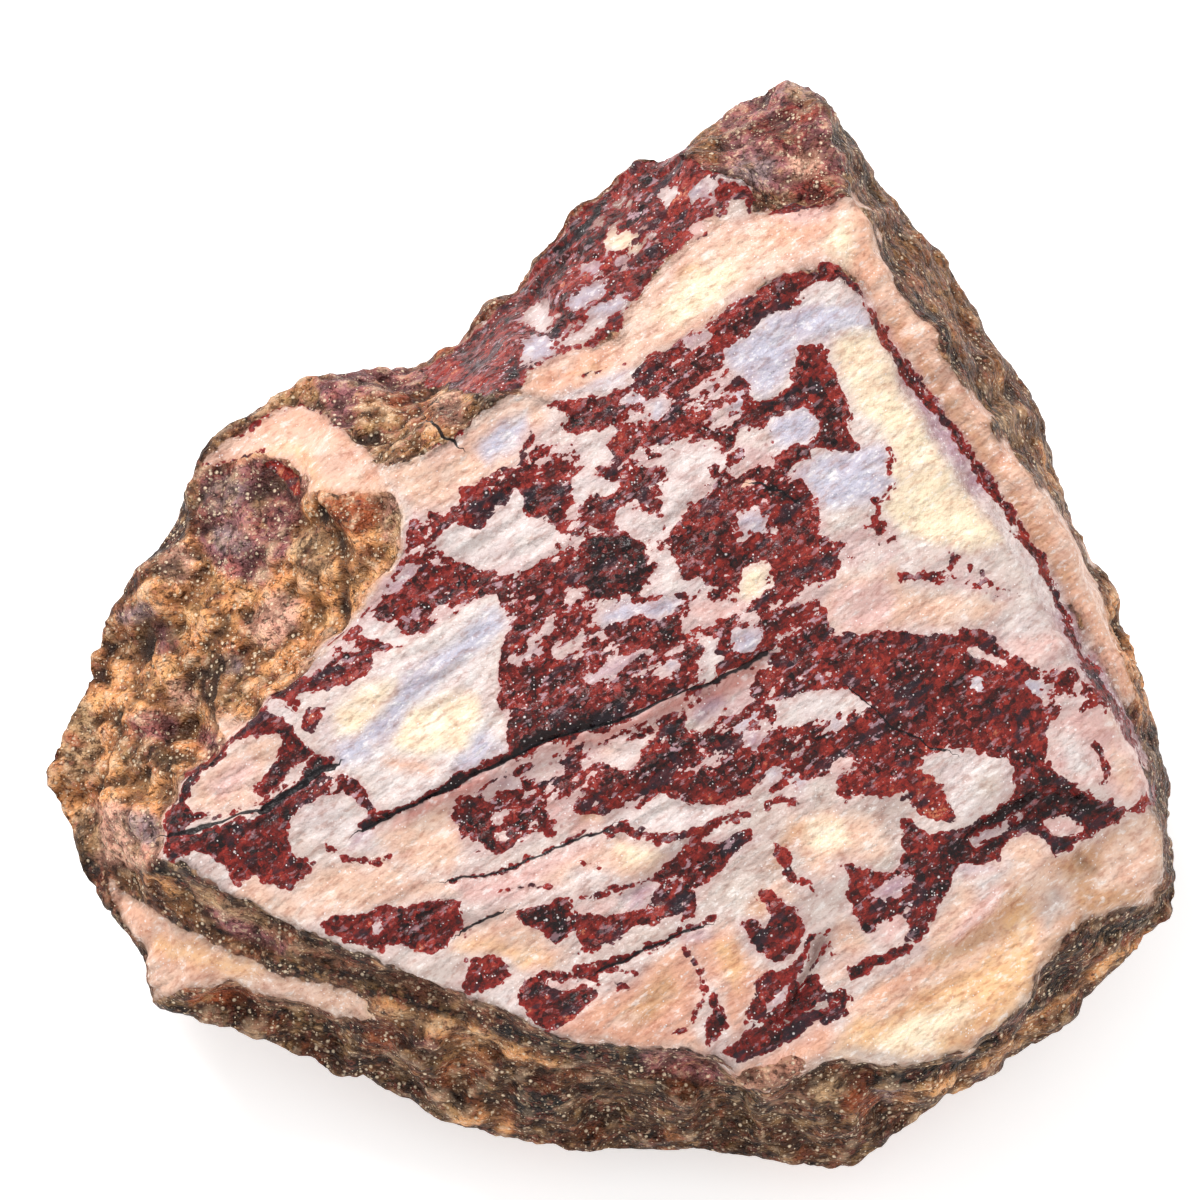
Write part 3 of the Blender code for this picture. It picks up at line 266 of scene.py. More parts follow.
    ("grey", ((7.8, 23.9), (8.6, 24), (9, 23.2), (8.6, 22.4), (7.8, 22.8))),
    ("peach", ((8.6, 22.6), (10.6, 23.3), (13, 23.5), (14.6, 23.9), (14, 22.4), (12, 21.2),
        (10, 21.6))),
    ("rose", ((10.6, 23.2), (12.4, 23.4), (14, 23.8), (13.4, 22.9), (11.6, 22.5))),
    ("yellow", ((13.6, 20.8), (14, 22), (15.6, 22.6), (16.3, 21.4), (16.2, 20.2), (15, 20))),
    ("yellow", ((3.2, 17), (5, 19.4), (7.4, 20.4), (8.4, 19.6), (6.6, 18), (4.8, 16.6))),
    ("peach", ((-4.4, 13), (-3, 14), (-0.6, 15), (1, 15.2), (0.6, 14.2), (-1, 13.2), (-2.6, 12.3))),
    ("orange", ((-1.6, 13.4), (-0.4, 14.2), (0.4, 14), (-0.4, 13.2))),
    ("ice", ((-2.6, 11.9), (-1.4, 12.5), (0, 13.1), (1.2, 13.6), (1.9, 13.7), (1.4, 12.9), (0, 12.4),
        (-1.4, 11.9))),
    ("red", 0.12, ((-1.2, 13.2), (0, 13.7), (1.4, 14.2))),
    ("orange", 0.3, ((5, 19.7), (5.5, 19.9))),
    # Tip
    ("plum", ((2.6, 28.4), (5, 26.8), (6, 26.2), (7.2, 25.8), (8.5, 25.3), (9.4, 24.8), (11, 24.3),
        (12.8, 24.2), (14.6, 24.8), (14.4, 26.4), (13.8, 28.4), (13.2, 29.8), (12.2, 31.4),
        (10.6, 31.8), (8, 30.8))),
    ("umber", ((2.4, 28.2), (4.8, 26.9), (7, 26.2), (7.6, 27.6), (6.8, 28.8), (5.2, 29.2))),
    ("mist", ((7.8, 25.6), (8.4, 26.7), (9.6, 26.9), (10.4, 26.2), (10, 25), (9, 24.9))),
    ("mist", ((10.8, 30.4), (11.4, 31.2), (12.2, 31.2), (12.8, 30.4), (12, 29.9))),
    ("blush", ((11.2, 26.2), (12, 26.9), (13.2, 26.9), (13.4, 25.8), (12.2, 25.2))),
    ("brick", ((10.6, 29.2), (11.2, 30), (12.6, 30), (13.2, 29.2), (12.6, 28.6), (11.4, 28.6))),
    ("brick", ((12, 25.2), (13.2, 25.5), (14.3, 26), (14.5, 24.9), (14, 23.9), (12.6, 23.8),
        (11.4, 24))),
    ("brick", ((8.8, 28), (9.8, 29), (11, 28.4), (12.6, 28.2), (12, 27.2), (10, 27.2))),
    ("maroon", 0.45, ((8.9, 24.3), (9.6, 23.7), (10.6, 23.4), (12, 23.5), (13, 23.8), (14, 24.2),
        (14.8, 24.5))),
    # Right flank: dark vein, cream ledge, brown wall
    ("umber", ((16.2, 24), (17, 21), (19, 18.5), (20.8, 16), (22.2, 13.6), (23.6, 12), (24.8, 9.6),
        (27, 7), (29, 4), (30.4, 1), (31.6, -2), (32.6, -5.4), (34.4, -5), (33.6, 0), (32, 4),
        (29.6, 9), (27, 13), (23, 18), (19.5, 23), (17.4, 26))),
    ("amber", 0.7, ((23.5, 13.5), (25, 11.4), (26, 9.4), (27.4, 7))),
    ("lilac", ((15.3, 18.6), (16.3, 16.4), (17.2, 14.5), (18.1, 12.3), (20, 9.3), (22, 6.5),
        (24.2, 3.5), (25.8, 0.9), (27, -1.3), (28.4, -3.7), (29.9, -6), (31.3, -7.9), (32.4, -9.8),
        (32.8, -9.4), (31.7, -7), (30.4, -4.8), (29.2, -2.6), (28, -0.4), (26.8, 2), (25.4, 4.2),
        (23.8, 6.6), (22.4, 8.8), (21, 11), (19.4, 13), (18.6, 14.2), (17.6, 16.2), (16.6, 18))),
    ("white", ((22, 6.4), (24.2, 3.4), (25.8, 0.8), (27, -1.2), (28, 0.2), (26.8, 2.2), (25.2, 4.4),
        (23.6, 6.6))),
    ("peach", ((15.4, 24), (16.4, 22), (16.6, 20.2), (17.7, 18.8), (18.3, 17.8), (19.7, 16.7),
        (20.3, 15.7), (20.4, 14.5), (21.5, 13.1), (22.5, 11.9), (23.5, 10.7), (23.9, 9.5), (25.1, 8.7),
        (25.7, 7.5), (26.9, 6), (28.2, 4.6), (29, 3), (29.6, 1.4), (30.4, -0.3), (31.2, -2.1),
        (32, -4.2), (32.5, -5.8), (31.6, -6.2), (30.4, -4.2), (29.3, -2.2), (28.2, 0.2), (26.8, 2.4),
        (25.2, 4.8), (23.6, 7.2), (22.2, 9.4), (20.8, 11.6), (19.2, 13.4), (18, 14.8), (17, 16.6),
        (16, 18.2), (15, 19.8))),
    ("cream", 0.9, ((17, 19), (18.2, 17.2), (19.6, 15.6), (20.4, 13.6), (22.2, 11), (23.4, 9.2))),
    ("tan", 0.5, ((17, 17), (18.4, 15.2), (20, 13.2), (21.8, 10.8), (23.2, 8.6), (24.8, 6.2),
        (26.4, 3.8), (27.8, 1.4))),
    ("cream", 0.8, ((25, 7.6), (26.4, 5.6), (27.8, 3.6), (28.9, 1.6), (30.2, -0.8), (31.2, -3.2))),
    ("maroon", 0.6, ((13.4, 20), (14.2, 19.8), (15.1, 18.7), (16, 17.3), (17.1, 15.6), (18.1, 14),
        (19.3, 12.5), (20.7, 10.9), (21.9, 9), (23.3, 6.9), (24.9, 4.6), (26.5, 2.2), (27.4, -0.2),
        (28.4, -2.4), (29.6, -4.5), (30.8, -6.6), (31.9, -8.7), (32.6, -10.4), (33.2, -12))),
    ("blood", 0.55, ((15.3, 18.1), (16.1, 16.9), (16.9, 15.8))),
    ("maroon", 0.25, ((18.1, 14.5), (19.6, 12.7), (21, 10.9), (22.3, 8.9), (23.7, 6.8), (25.3, 4.5),
        (26.8, 2.2))),
    ("buff", ((23.5, 12.9), (24.5, 12.3), (25.3, 11.3), (25.4, 10.1), (24.9, 9.1), (24.1, 9.9),
        (23.3, 11.1))),
    ("dark", 0.35, ((16.9, 21.6), (18.2, 19), (20, 17), (21.2, 14.6), (22.8, 12.2), (24, 10),
        (25.6, 8.4))),
    ("clay", 0.4, ((18.6, 19.4), (20.4, 17.6), (21.8, 15.4), (23.4, 13.6))),
    ("ochre", ((30.4, 0.6), (31.2, 0.2), (32.2, -3), (33, -5.6), (32.6, -7.4), (31.8, -4.6),
        (30.9, -2))),
    # The break: a ground of mottled red and pale
    # A dark stroke just under the lower edge of the break: painted shadow under that edge.
    ("dark", 0.9, ((-26.4, -16), (-24.5, -17), (-21, -18.8), (-18, -20.3), (-15, -21.7), (-12, -22.8),
        (-9, -24.1), (-6.2, -25), (-4, -26.1), (-2.4, -26.6), (0, -26.9), (2, -27.4), (4.5, -27.5),
        (6.8, -27.8))),
    ("milk", ((-13.1, 7.8), (-11.5, 8.3), (-10, 8.8), (-8, 10.3), (-6, 11.8), (-4.6, 12.2), (-3, 11.9),
        (-1, 12.6), (1, 12.6), (2.2, 13.9), (4, 14.9), (6, 15.9), (8, 17.7), (10, 18.9), (12, 19.7),
        (14.1, 19.6), (15.3, 18.5), (16.3, 16.5), (17.2, 14.6), (18.1, 12.4), (20, 9.4), (22, 6.6),
        (24.2, 3.6), (25.8, 1), (27, -1.2), (28.4, -3.6), (29.9, -5.9), (31.3, -7.8), (32.2, -9.6),
        (32.8, -11.3), (33.4, -12.9), (33.7, -14.7), (33.4, -16.8), (32.6, -18.2), (31.5, -18.5),
        (29.2, -18.8), (28.2, -19.6), (26.9, -21.2), (26, -22.7), (25.5, -23.9), (24.3, -25.1),
        (22.8, -26.2), (21.6, -27.1), (19.6, -27.8), (17.6, -28), (15.9, -27.8), (14.3, -27.4),
        (12.4, -28), (11, -29), (9.8, -29.6), (8.6, -29.1), (7.8, -28.1), (6.8, -27.3), (4.5, -27),
        (2, -26.95), (0, -26.4), (-2.5, -26.2), (-4, -25.6), (-6.2, -24.5), (-9, -23.6), (-12, -22.3),
        (-15, -21.2), (-18, -19.8), (-21, -18.3), (-24.5, -16.5), (-26.5, -15.5), (-26.3, -14),
        (-25.9, -12.4), (-24.9, -10.8), (-23.3, -9.2), (-21.3, -7.5), (-20, -6), (-18, -4.6),
        (-16.8, -3.2), (-15.2, -1.5), (-13.8, 0), (-12.7, 1.5), (-11.7, 3), (-11.9, 5.2))),
    ("mottle", ((-11.4, 5), (-8.6, 5.9), (-6, 7.4), (-4.6, 9.8), (-2.4, 9.8), (0, 10), (3, 9.6),
        (8, 9.8), (12, 9), (13.6, 4), (14.4, 0), (18, -1.8), (24, -2), (26.6, -4), (27, -9.6),
        (19, -10.2), (14, -10.4), (8, -12.6), (0, -13.2), (-4, -13.4), (-9, -12), (-5.6, -9.6),
        (-6.4, -6), (-6, -2.4), (-6.4, 0.2), (-9, -1.4), (-13.6, -3.6), (-17.8, -4.8), (-14.2, -0.4),
        (-12, 2))),
    ("cream", ((-13.1, 7.8), (-11.5, 8.3), (-10, 8.8), (-8.7, 9.6), (-8, 10.3), (-7, 11.2), (-6, 11.8),
        (-5, 12), (-4, 11.9), (-3, 11.6), (-3.4, 10.8), (-4, 10), (-4.5, 9.8), (-4.9, 9), (-5.2, 8.1),
        (-6, 7.5), (-7, 7), (-8, 6.5), (-8.6, 5.9), (-9.5, 5.4), (-11, 5.3), (-11.6, 6))),
    ("ice", ((-7.4, 9.2), (-6, 10.8), (-4.4, 11.2), (-4.4, 10.2), (-5.4, 9), (-6.6, 8.2))),
    ("maroon", ((-10.6, 5.2), (-10.2, 5.5), (-9.8, 5.1), (-10.1, 4.6))),
    ("mottle", ((-16.8, -3.2), (-15.2, -1.5), (-13.8, 0), (-12.7, 1.5), (-11.8, 3), (-11.2, 4.8),
        (-9.4, 4.8), (-9.8, 3.2), (-9, 2.4), (-6.3, 1.5), (-4.2, 1.7), (-3.2, 2.6), (-2, 3.8), (0, 3.6),
        (0, 0.4), (-4, -0.4), (-6.4, 0.2), (-8.5, -0.9), (-9.5, -1.6), (-12, -3.2), (-14.6, -3.4))),
    ("lilac", 0.8, ((-12.5, 0.8), (-11.8, 1.4), (-11, 2))),
    ("thick", ((-12.6, 0.4), (-10.8, 1.8), (-8.2, 1.9), (-6.2, 1.2), (-4, 1.4), (-2.4, 2.8),
        (-1.2, 2.4), (-3, 0.4), (-6, 0.6), (-8.4, -0.4), (-11, -1.6), (-12.8, -1.2))),
    ("white", ((-14.9, -1.4), (-13.8, -0.9), (-12.6, -1.4), (-11.2, -2.2), (-11, -3), (-12.4, -2.9),
        (-14, -2.4))),
    ("black", ((-13.2, -0.6), (-12.7, -0.2), (-12.2, -0.6), (-12.5, -1.2), (-13, -1.1))),
    ("white", ((-10.2, 3.5), (-9.2, 4.6), (-8.5, 5.1), (-6.7, 5), (-5.8, 5.9), (-4.9, 6.9), (-4.5, 5.6),
        (-4, 4.7), (-3, 4.6), (-2, 3.8), (-2.6, 3.3), (-3.4, 2.6), (-4.2, 1.8), (-5, 1.5), (-6.3, 1.6),
        (-8.2, 2.1), (-9, 2.5), (-9.8, 3.2))),
    ("red", ((-8.4, 4.8), (-8.1, 5.9), (-7.5, 6.6), (-6.5, 7), (-5.6, 6.9), (-5.3, 6.5), (-5.7, 5.9),
        (-6.5, 5.3), (-7.1, 4.3), (-7.8, 4.5))),
    ("maroon", 0.4, ((-8.2, 6.3), (-7, 7.1), (-6, 7.5), (-4, 7.9), (-3, 8), (0, 7.8))),
    ("maroon", ((-4.7, 6.4), (-4.4, 6.9), (-3.5, 7.3), (-2.8, 7), (-2.2, 6.2), (-1.9, 5.6), (-2.2, 4.7),
        (-2.6, 4.3), (-3.2, 4.8), (-3.9, 4.7), (-4.5, 5.5))),
    ("maroon", ((-4.9, 8.6), (-4.7, 9.5), (-4.2, 10), (-3.9, 9.9), (-4.2, 9.2), (-4.8, 8.1))),
    ("red", ((-17, -4), (-15.8, -3.9), (-14.8, -3.6), (-14, -3.4), (-13.4, -3.5), (-13.3, -3.8),
        (-13.8, -4.3), (-14.6, -4.7), (-15.3, -5.1), (-16, -5.3), (-17, -5.6), (-17.8, -5.6))),
    ("red", ((-16.4, -6.3), (-17, -6.3), (-17.8, -6.7), (-18, -7.8), (-17.2, -7.9), (-16.8, -7.6),
        (-16.5, -6.9))),
    # Left corner: pale seed in its red ring, the big pale wedge, the black fissure
    ("maroon", ((-26.3, -15.4), (-26, -12.6), (-24.9, -10.8), (-23.2, -9), (-21.2, -7.3), (-20, -5.9),
        (-18, -4.4), (-16.9, -4.6), (-18, -6), (-18.2, -8), (-17.2, -9.4), (-18.6, -10.4), (-20, -11.8),
        (-22, -12.8), (-24.4, -13.2))),
    ("cream", ((-24.6, -11.9), (-24, -10.7), (-23.2, -9.9), (-22.2, -9), (-21.3, -8.4), (-20.3, -8),
        (-19.5, -7.9), (-19.3, -8.6), (-19.6, -9.6), (-20.2, -10.6), (-20.8, -11.2), (-20.6, -11.9),
        (-21.4, -12.5), (-22.5, -12.8), (-23.6, -12.9), (-24.4, -12.6))),
    ("rose", ((-23.4, -11.2), (-22.2, -9.9), (-20.9, -9.3), (-20.6, -10.2), (-21.6, -11.4),
        (-22.8, -12))),
    ("white", ((-20.2, -5.9), (-19.3, -5.9), (-18.2, -6.7), (-18.3, -7.3), (-19.2, -6.9), (-20, -6.4))),
    ("white", ((-17, -7.9), (-16.5, -6.6), (-15.4, -5.7), (-14, -4.8), (-13, -3.9), (-12, -3.3),
        (-9.5, -1.8), (-8.5, -1), (-7, -0.2), (-6.4, 0), (-5.3, -0.9), (-5.6, -1.6), (-6.2, -2.4),
        (-6.2, -3), (-6.6, -3.7), (-7, -4.3), (-6.7, -5.3), (-6.9, -6), (-6.6, -6.9), (-6.3, -7.8),
        (-5.6, -8.4), (-5.5, -9.2), (-6, -9.9), (-7, -10.6), (-8.1, -11), (-9.5, -11.5), (-11, -12.2),
        (-12.4, -12.5), (-13.1, -12), (-13.8, -11), (-14.5, -10.4), (-15.5, -10.2), (-16.1, -9.8))),
    ("yellow", ((-16, -6.8), (-14.4, -5.2), (-12.4, -4.7), (-11.8, -5.6), (-12.6, -7), (-14.2, -8),
        (-15.6, -8))),
    ("yellow", ((-12.6, -8.2), (-11.4, -6.6), (-9, -5.6), (-7.4, -5.8), (-7.2, -7.2), (-8, -8.8),
        (-10, -9.2), (-12, -9))),
    ("ice", 1.3, ((-6.4, -1.3), (-7.8, -2.6), (-9.4, -3.7), (-11.4, -5.3), (-12.8, -7.2), (-14.4, -8.7),
        (-15.4, -9.3))),
    ("ice", ((-7, -7.6), (-6, -8.8), (-7, -9.8), (-8.6, -10.4), (-8.4, -9.4))),
    ("peach", 0.5, ((-12.8, -9.7), (-11.6, -9.9), (-10.4, -10))),
    ("ink", ((-21.2, -12.9), (-19.6, -11.7), (-18.6, -10.7), (-17.8, -9.7), (-16.8, -9), (-16, -9.5),
        (-16.8, -10.3), (-18.4, -11.5), (-19.9, -12.4))),
    ("maroon", ((-26.3, -14.6), (-24.9, -13.8), (-22.9, -13.4), (-20.9, -13), (-19.1, -12.2),
        (-18.5, -12.8), (-18.9, -14), (-18.3, -15.1), (-17, -15.9), (-18.1, -16.9), (-18.5, -17.6),
        (-19.7, -17), (-20.9, -16.7), (-21.7, -17.2), (-22.1, -16.9), (-23.3, -15.3), (-24.3, -15.1),
        (-25.3, -16.1), (-26.1, -15.7))),
    ("red", ((-23.6, -14.6), (-22.4, -13.9), (-20.4, -13.8), (-19.2, -15), (-17.6, -16), (-18.5, -17.5),
        (-19.7, -16.9), (-20.9, -16.6), (-21.7, -17.1), (-22.6, -16.2))),
    ("cream", ((-22.4, -17.6), (-21.6, -17.1), (-20.9, -16.6), (-18.5, -17.6), (-18, -16.8),
        (-16.8, -15.9), (-13, -15.5), (-11.6, -16.4), (-12, -18), (-15.8, -18.7), (-16.8, -19.2),
        (-18.9, -19.1), (-20.8, -18.3))),
    ("thick", ((-18.9, -11.6), (-16.8, -10.4), (-14.8, -10.5), (-13.6, -11.6), (-13, -13),
        (-13.6, -13.7), (-14.2, -12.7), (-15.2, -12.1), (-16.8, -12), (-18.3, -12.8), (-18.9, -12.6))),
    ("white", ((-18.3, -13.2), (-17.4, -12.3), (-15.6, -12.2), (-14.6, -12.6), (-14, -13.6),
        (-14.1, -14.3), (-15.6, -14.4), (-16.8, -14.4), (-17.6, -14))),
    ("lilac", ((-14.9, -14.8), (-14.2, -13.9), (-13.6, -13.9), (-13.8, -14.9))),
    ("grey", 0.6, ((-18.4, -14.6), (-17.4, -15.4), (-16.4, -15.8))),
    ("maroon", 0.35, ((-16.5, -14.8), (-15.5, -15.3), (-14.5, -15.6), (-13.3, -15.8), (-12, -15))),
    # Left part of the break under the crack
    ("cream", ((-13.3, -14), (-11, -13.1), (-9, -12.3), (-8.5, -13), (-8, -14), (-8.3, -15.4),
        (-9, -16.3), (-11, -16.3), (-12.3, -15.6))),
    ("mottle", ((-9.4, -12.3), (-6, -10.4), (-3, -9.2), (0, -8.4), (3, -8.6), (2.6, -12), (-1, -13.4),
        (-4.6, -14.6), (-7, -15.2), (-8.4, -15))),
    ("maroon", ((-8.6, -12.1), (-7.8, -11.5), (-7.2, -12.5), (-6.4, -13.1), (-5, -13.7), (-5, -14.5),
        (-6, -15.2), (-7.4, -14.7), (-8, -14.9), (-7.6, -13.9), (-8.4, -12.9))),
    ("maroon", ((-4.1, -12.1), (-3.7, -13.9), (-2.9, -14.5), (-2.8, -13.7), (-3.2, -12.5))),
    ("cream", ((0.1, -8.9), (1.3, -8.7), (2.9, -8), (3.9, -7.4), (3.2, -8.8), (2.1, -9.7), (1.3, -10.3),
        (0.7, -9.9))),
    ("maroon", ((2.9, -8.9), (4.9, -8.1), (5.8, -8.7), (4.6, -10.1), (2.9, -11.7), (1.5, -11.3),
        (2.1, -10))),
    ("bark", 0.4, ((2.4, -10.6), (3.6, -9.4), (4.6, -8.8))),
    ("grey", ((5, -6.6), (6.2, -5.9), (7.4, -5.7), (7.6, -6.7), (6.2, -7.9), (5.2, -7.7))),
    ("white", ((1.3, -13.1), (2.9, -12.7), (3.9, -11.7), (4.9, -12.1), (6.8, -12.3), (7.4, -12.9),
        (6.2, -13.5), (4.1, -13.7), (2.5, -13.5))),
    ("cream", ((-2.2, -13.6), (-1, -12.9), (0.2, -12.7), (-0.4, -13.3), (-1.6, -13.9))),
    ("rose", ((-6.2, -14), (-5.9, -13.8), (-5.6, -14.2), (-5.9, -14.5))),
    ("lilac", ((-6.5, -10.8), (-5.4, -10.6), (-4.5, -11.2), (-5.4, -11.5))),
    ("maroon", 0.5, ((-4.1, -12.2), (-3.5, -13), (-2.9, -14))),
    ("cream", ((-21.5, -16.9), (-19, -17.6), (-16, -17), (-12, -16.6), (-9, -16.9), (-8.6, -17.6),
        (-12, -17.9), (-16, -18.4), (-19.4, -18.4))),
    ("rose", ((-9, -17), (-5, -16), (-1, -14.6), (1.6, -14.4), (1, -15.6), (-3, -16.8), (-5, -18),
        (-8, -18))),
    ("blood", 0.3, ((-6, -17.4), (-4.6, -17.3), (-3, -17.1))),
    ("maroon", 0.28, ((-9, -16.7), (-8, -16.7), (-7, -16.5), (-6, -16.2), (-5, -15.8), (-4, -15.4),
        (-3, -15.1), (-2, -14.5), (-1, -14.1), (0, -13.8))),
    ("red", ((-16.9, -19.4), (-16.2, -18.8), (-15, -18.9), (-13.9, -18.6), (-12.5, -18.4), (-11, -18.1),
        (-9.8, -18), (-8.4, -18.2), (-8.3, -18.9), (-8, -19.7), (-8.9, -20.1), (-9.3, -20.8),
        (-10.2, -21.3), (-11, -21), (-12, -20.7), (-13.2, -21.1), (-14.6, -20.6), (-15.5, -20.1),
        (-16.3, -19.9))),
    ("lilac", ((-13.5, -20), (-13.5, -19.2), (-13.1, -19.2), (-13.1, -20))),
    ("cream", ((-9.1, -20.8), (-8.3, -20.1), (-7.3, -19.7), (-6.3, -19.1), (-5.7, -18.6), (-5, -18.7),
        (-4.6, -19.2), (-3.9, -19.6), (-3.3, -20), (-2.8, -20.5), (-2, -20.9), (-2.1, -21.4),
        (-3, -21.9), (-4, -22.1), (-4.9, -21.9), (-6, -21.3), (-7.2, -21), (-8.2, -21.2))),
    ("orange", 0.5, ((-8.4, -20.7), (-6.8, -20.6), (-5, -21.4), (-3, -21.6))),
    ("ink", 0.3, ((-8.2, -19.9), (-7, -19.3), (-6, -18.8))),
    ("black", ((-4.9, -18.6), (-3.5, -18.4), (-2.2, -18.3), (-2, -19.3), (-2.2, -20.3), (-2.6, -20.6),
        (-3.2, -20.2), (-4.2, -19.4))),
    ("red", ((-1.7, -19), (-0.8, -18.8), (0, -19.2), (0, -21), (-1, -21.1), (-1.9, -21.2),
        (-1.1, -20.6), (-0.7, -19.9))),
    ("red", ((-8.4, -22.8), (-8.1, -21.5), (-7.2, -21.2), (-6.3, -21.3), (-5.8, -21.8), (-5.3, -22.4),
        (-5.8, -22.9), (-6.5, -23.1), (-7.2, -23.5), (-8, -23.7))),
    ("white", ((-6.8, -23.4), (-5.6, -23.2), (-4.9, -24), (-4.9, -24.8), (-6, -24.3))),
    ("red", ((-4.7, -22.6), (-3.5, -22.4), (-2, -22.2), (0, -22), (0, -22.8), (-0.4, -23.4), (0, -24.1),
        (-0.7, -24.4), (-1.3, -25), (-2.3, -25.8), (-2.9, -26), (-3.4, -25.9), (-4.2, -25),
        (-4.9, -24.3), (-4.8, -23.2))),
    ("rose", 0.4, ((-2.8, -23), (-1.6, -23), (-0.5, -23))),
    ("peach", ((-2.3, -25.9), (-1.5, -25.1), (0, -24.2), (0, -26.3), (-1.4, -26.2))),
    # Upper middle of the break
    ("red", ((-3.3, 11.7), (-2.5, 12), (-1, 12.1), (0, 12.2), (1, 12.5), (1.9, 13.1), (2.4, 14),
        (3.2, 14.6), (4.2, 15.1), (5.3, 15.6), (6.5, 16.5), (7.5, 17.3), (8.5, 18.1), (9.6, 18.8),
        (11, 19.5), (12.5, 19.8), (13.9, 19.9), (14.2, 19.4), (13.2, 19), (12.6, 18.1), (11.5, 17.6),
        (10.5, 17.3), (9.8, 16.9), (9.3, 16.3), (8.5, 15.7), (7.8, 15.3), (7.2, 15), (7.4, 14.4),
        (7.7, 14), (8.2, 13.4), (8.9, 13), (9.1, 12.4), (9.8, 12), (10.4, 12.3), (11.2, 12.7),
        (11.6, 13), (11.3, 13.8), (11.6, 14.6), (12, 15.2), (12.6, 15.5), (13.2, 15.6), (13.7, 15.2),
        (13.6, 14.5), (14, 14), (14.3, 13.2), (14.6, 12.3), (15.1, 11.5), (15.3, 11), (14.9, 10.4),
        (15, 9.9), (15.8, 9.2), (15.3, 8.8), (14.4, 8.6), (13.9, 8.8), (13.4, 9.2), (12.8, 8.9),
        (12.7, 8.4), (12.3, 8.3), (11.8, 7.9), (11.3, 7.6), (10.8, 7.2), (10.2, 8.2), (10.7, 9),
        (10.2, 9.4), (10.3, 10), (10, 10.3), (9.3, 10), (8.6, 10), (8, 9.6), (7.9, 8.9), (7.4, 9.2),
        (6.6, 9.4), (6, 9.7), (5.4, 9.8), (4.6, 9.5), (4, 9), (2.5, 9.1), (2.4, 8.7), (1.4, 8.6),
        (1, 9.4), (1.3, 10), (0.5, 10.4), (-0.9, 9.8), (-1.6, 9.9), (-2.5, 10.4), (-2, 11.1))),
    ("mottle", ((0.4, 10.6), (1.4, 12.4), (3.4, 13.6), (6, 14.6), (8.4, 13.2), (9, 12), (9.4, 10.4),
        (6, 10), (3, 9.6))),
    ("thick", ((2.4, 13), (4.4, 14.8), (7, 16.4), (7.2, 14.8), (6.2, 13.2), (4, 12.4))),
    ("ice", ((1.5, 12), (2.2, 12.5), (3, 12.4), (2.8, 12), (2, 11.7))),
    ("ice", ((3, 10.8), (3.2, 12), (3.8, 12), (3.9, 11.2), (3.5, 10.6))),
    ("lilac", ((6.2, 12.5), (6.7, 13.1), (7.2, 12.9), (6.9, 12.4))),
    ("ice", ((7.8, 11.5), (8, 12.6), (8.6, 12.8), (8.7, 12), (8.3, 11.4))),
    ("lilac", 0.35, ((8.1, 17.3), (8.3, 18))),
    ("lilac", 0.35, ((5.4, 15.4), (6.4, 15.9))),
    ("white", ((-1.4, 10), (0, 10.1), (0.8, 9.2), (0.9, 8.2), (-0.6, 7.9), (-1.6, 8.8))),
    ("white", ((3.6, 9), (5, 9.3), (7, 8.9), (8, 8.2), (7.4, 7.8), (6, 7.3), (4.4, 7.6), (3.6, 8.2))),
    ("ice", ((7.3, 14.8), (8, 15.4), (9, 16), (9.7, 16.6), (10.6, 17.2), (11.5, 17.6), (12.5, 17.9),
        (14, 18), (15.2, 17.9), (15.7, 17.2), (16.2, 16.3), (15, 16.2), (13.8, 16), (13, 15.8),
        (12.2, 15.4), (11.6, 14.7), (11.3, 13.6), (10.8, 13), (10.2, 12.4), (9.6, 12.2), (9, 12.9),
        (8.3, 13.5))),
    ("white", ((12, 18.2), (12.8, 19.1), (14, 19.2), (15, 18.2), (14, 17.9))),
    ("yellow", ((14, 15.8), (16.2, 16.2), (16.8, 15.3), (17.5, 14.2), (18, 12.8), (19.7, 10),
        (21.4, 7.4), (23, 5), (24, 3.6), (22.6, 3), (20.4, 3.4), (18, 4.2), (17, 5.4), (17.6, 7),
        (17.2, 7.8), (17.6, 8.6), (17.2, 9.6), (16.6, 10.6), (15.6, 11.2), (15.2, 12.2), (14.6, 13.6),
        (14.2, 14.6))),
    ("ice", ((10.3, 10.4), (10.7, 11), (11.3, 11.4), (12, 11.5), (12.6, 11.1), (12.9, 10.5),
        (12.9, 9.9), (12.4, 9.4), (11.9, 9.3), (11.2, 9.1), (10.6, 9.4), (10.4, 10))),
    ("ice", ((11.7, 7.6), (12.2, 8), (13, 8.5), (14, 8.7), (15, 8.8), (16, 9.2), (17, 9.4), (17.5, 8.5),
        (17, 7.6), (17.6, 7), (17.2, 6.4), (16.5, 6), (15.5, 5.9), (14.2, 5.6), (13.2, 5.4),
        (12.8, 5.9), (12.3, 6.3), (12.4, 7))),
    ("blood", 0.2, ((17.5, 8.5), (17.3, 7.9))),
    ("rose", ((8.4, 7.4), (9, 8.6), (10.2, 8.4), (10.6, 7), (12.6, 6.2), (12.4, 5.6), (10, 5.6),
        (8.6, 6.2))),
    ("thick", ((7.6, 5.6), (8, 7.4), (9.6, 8.2), (10.8, 7.6), (12.4, 7.2), (12.8, 6), (11.4, 5.2),
        (9, 5))),
    ("orange", ((8.3, 6.7), (8.7, 7.4), (9.2, 7.1), (8.9, 6.6))),
    # Middle of the break
    ("maroon", ((1.3, 7.3), (2, 7.9), (3, 8), (3.6, 7.9), (3.4, 7.4), (3, 7), (3.4, 6.4), (3.6, 6),
        (2.8, 5.6), (2, 5.9), (1.6, 6.3), (1.3, 6.8))),
    ("maroon", ((6.4, 7.8), (7, 8.1), (7.6, 7.9), (7.5, 7.5), (7, 7.3), (6.6, 7.4))),
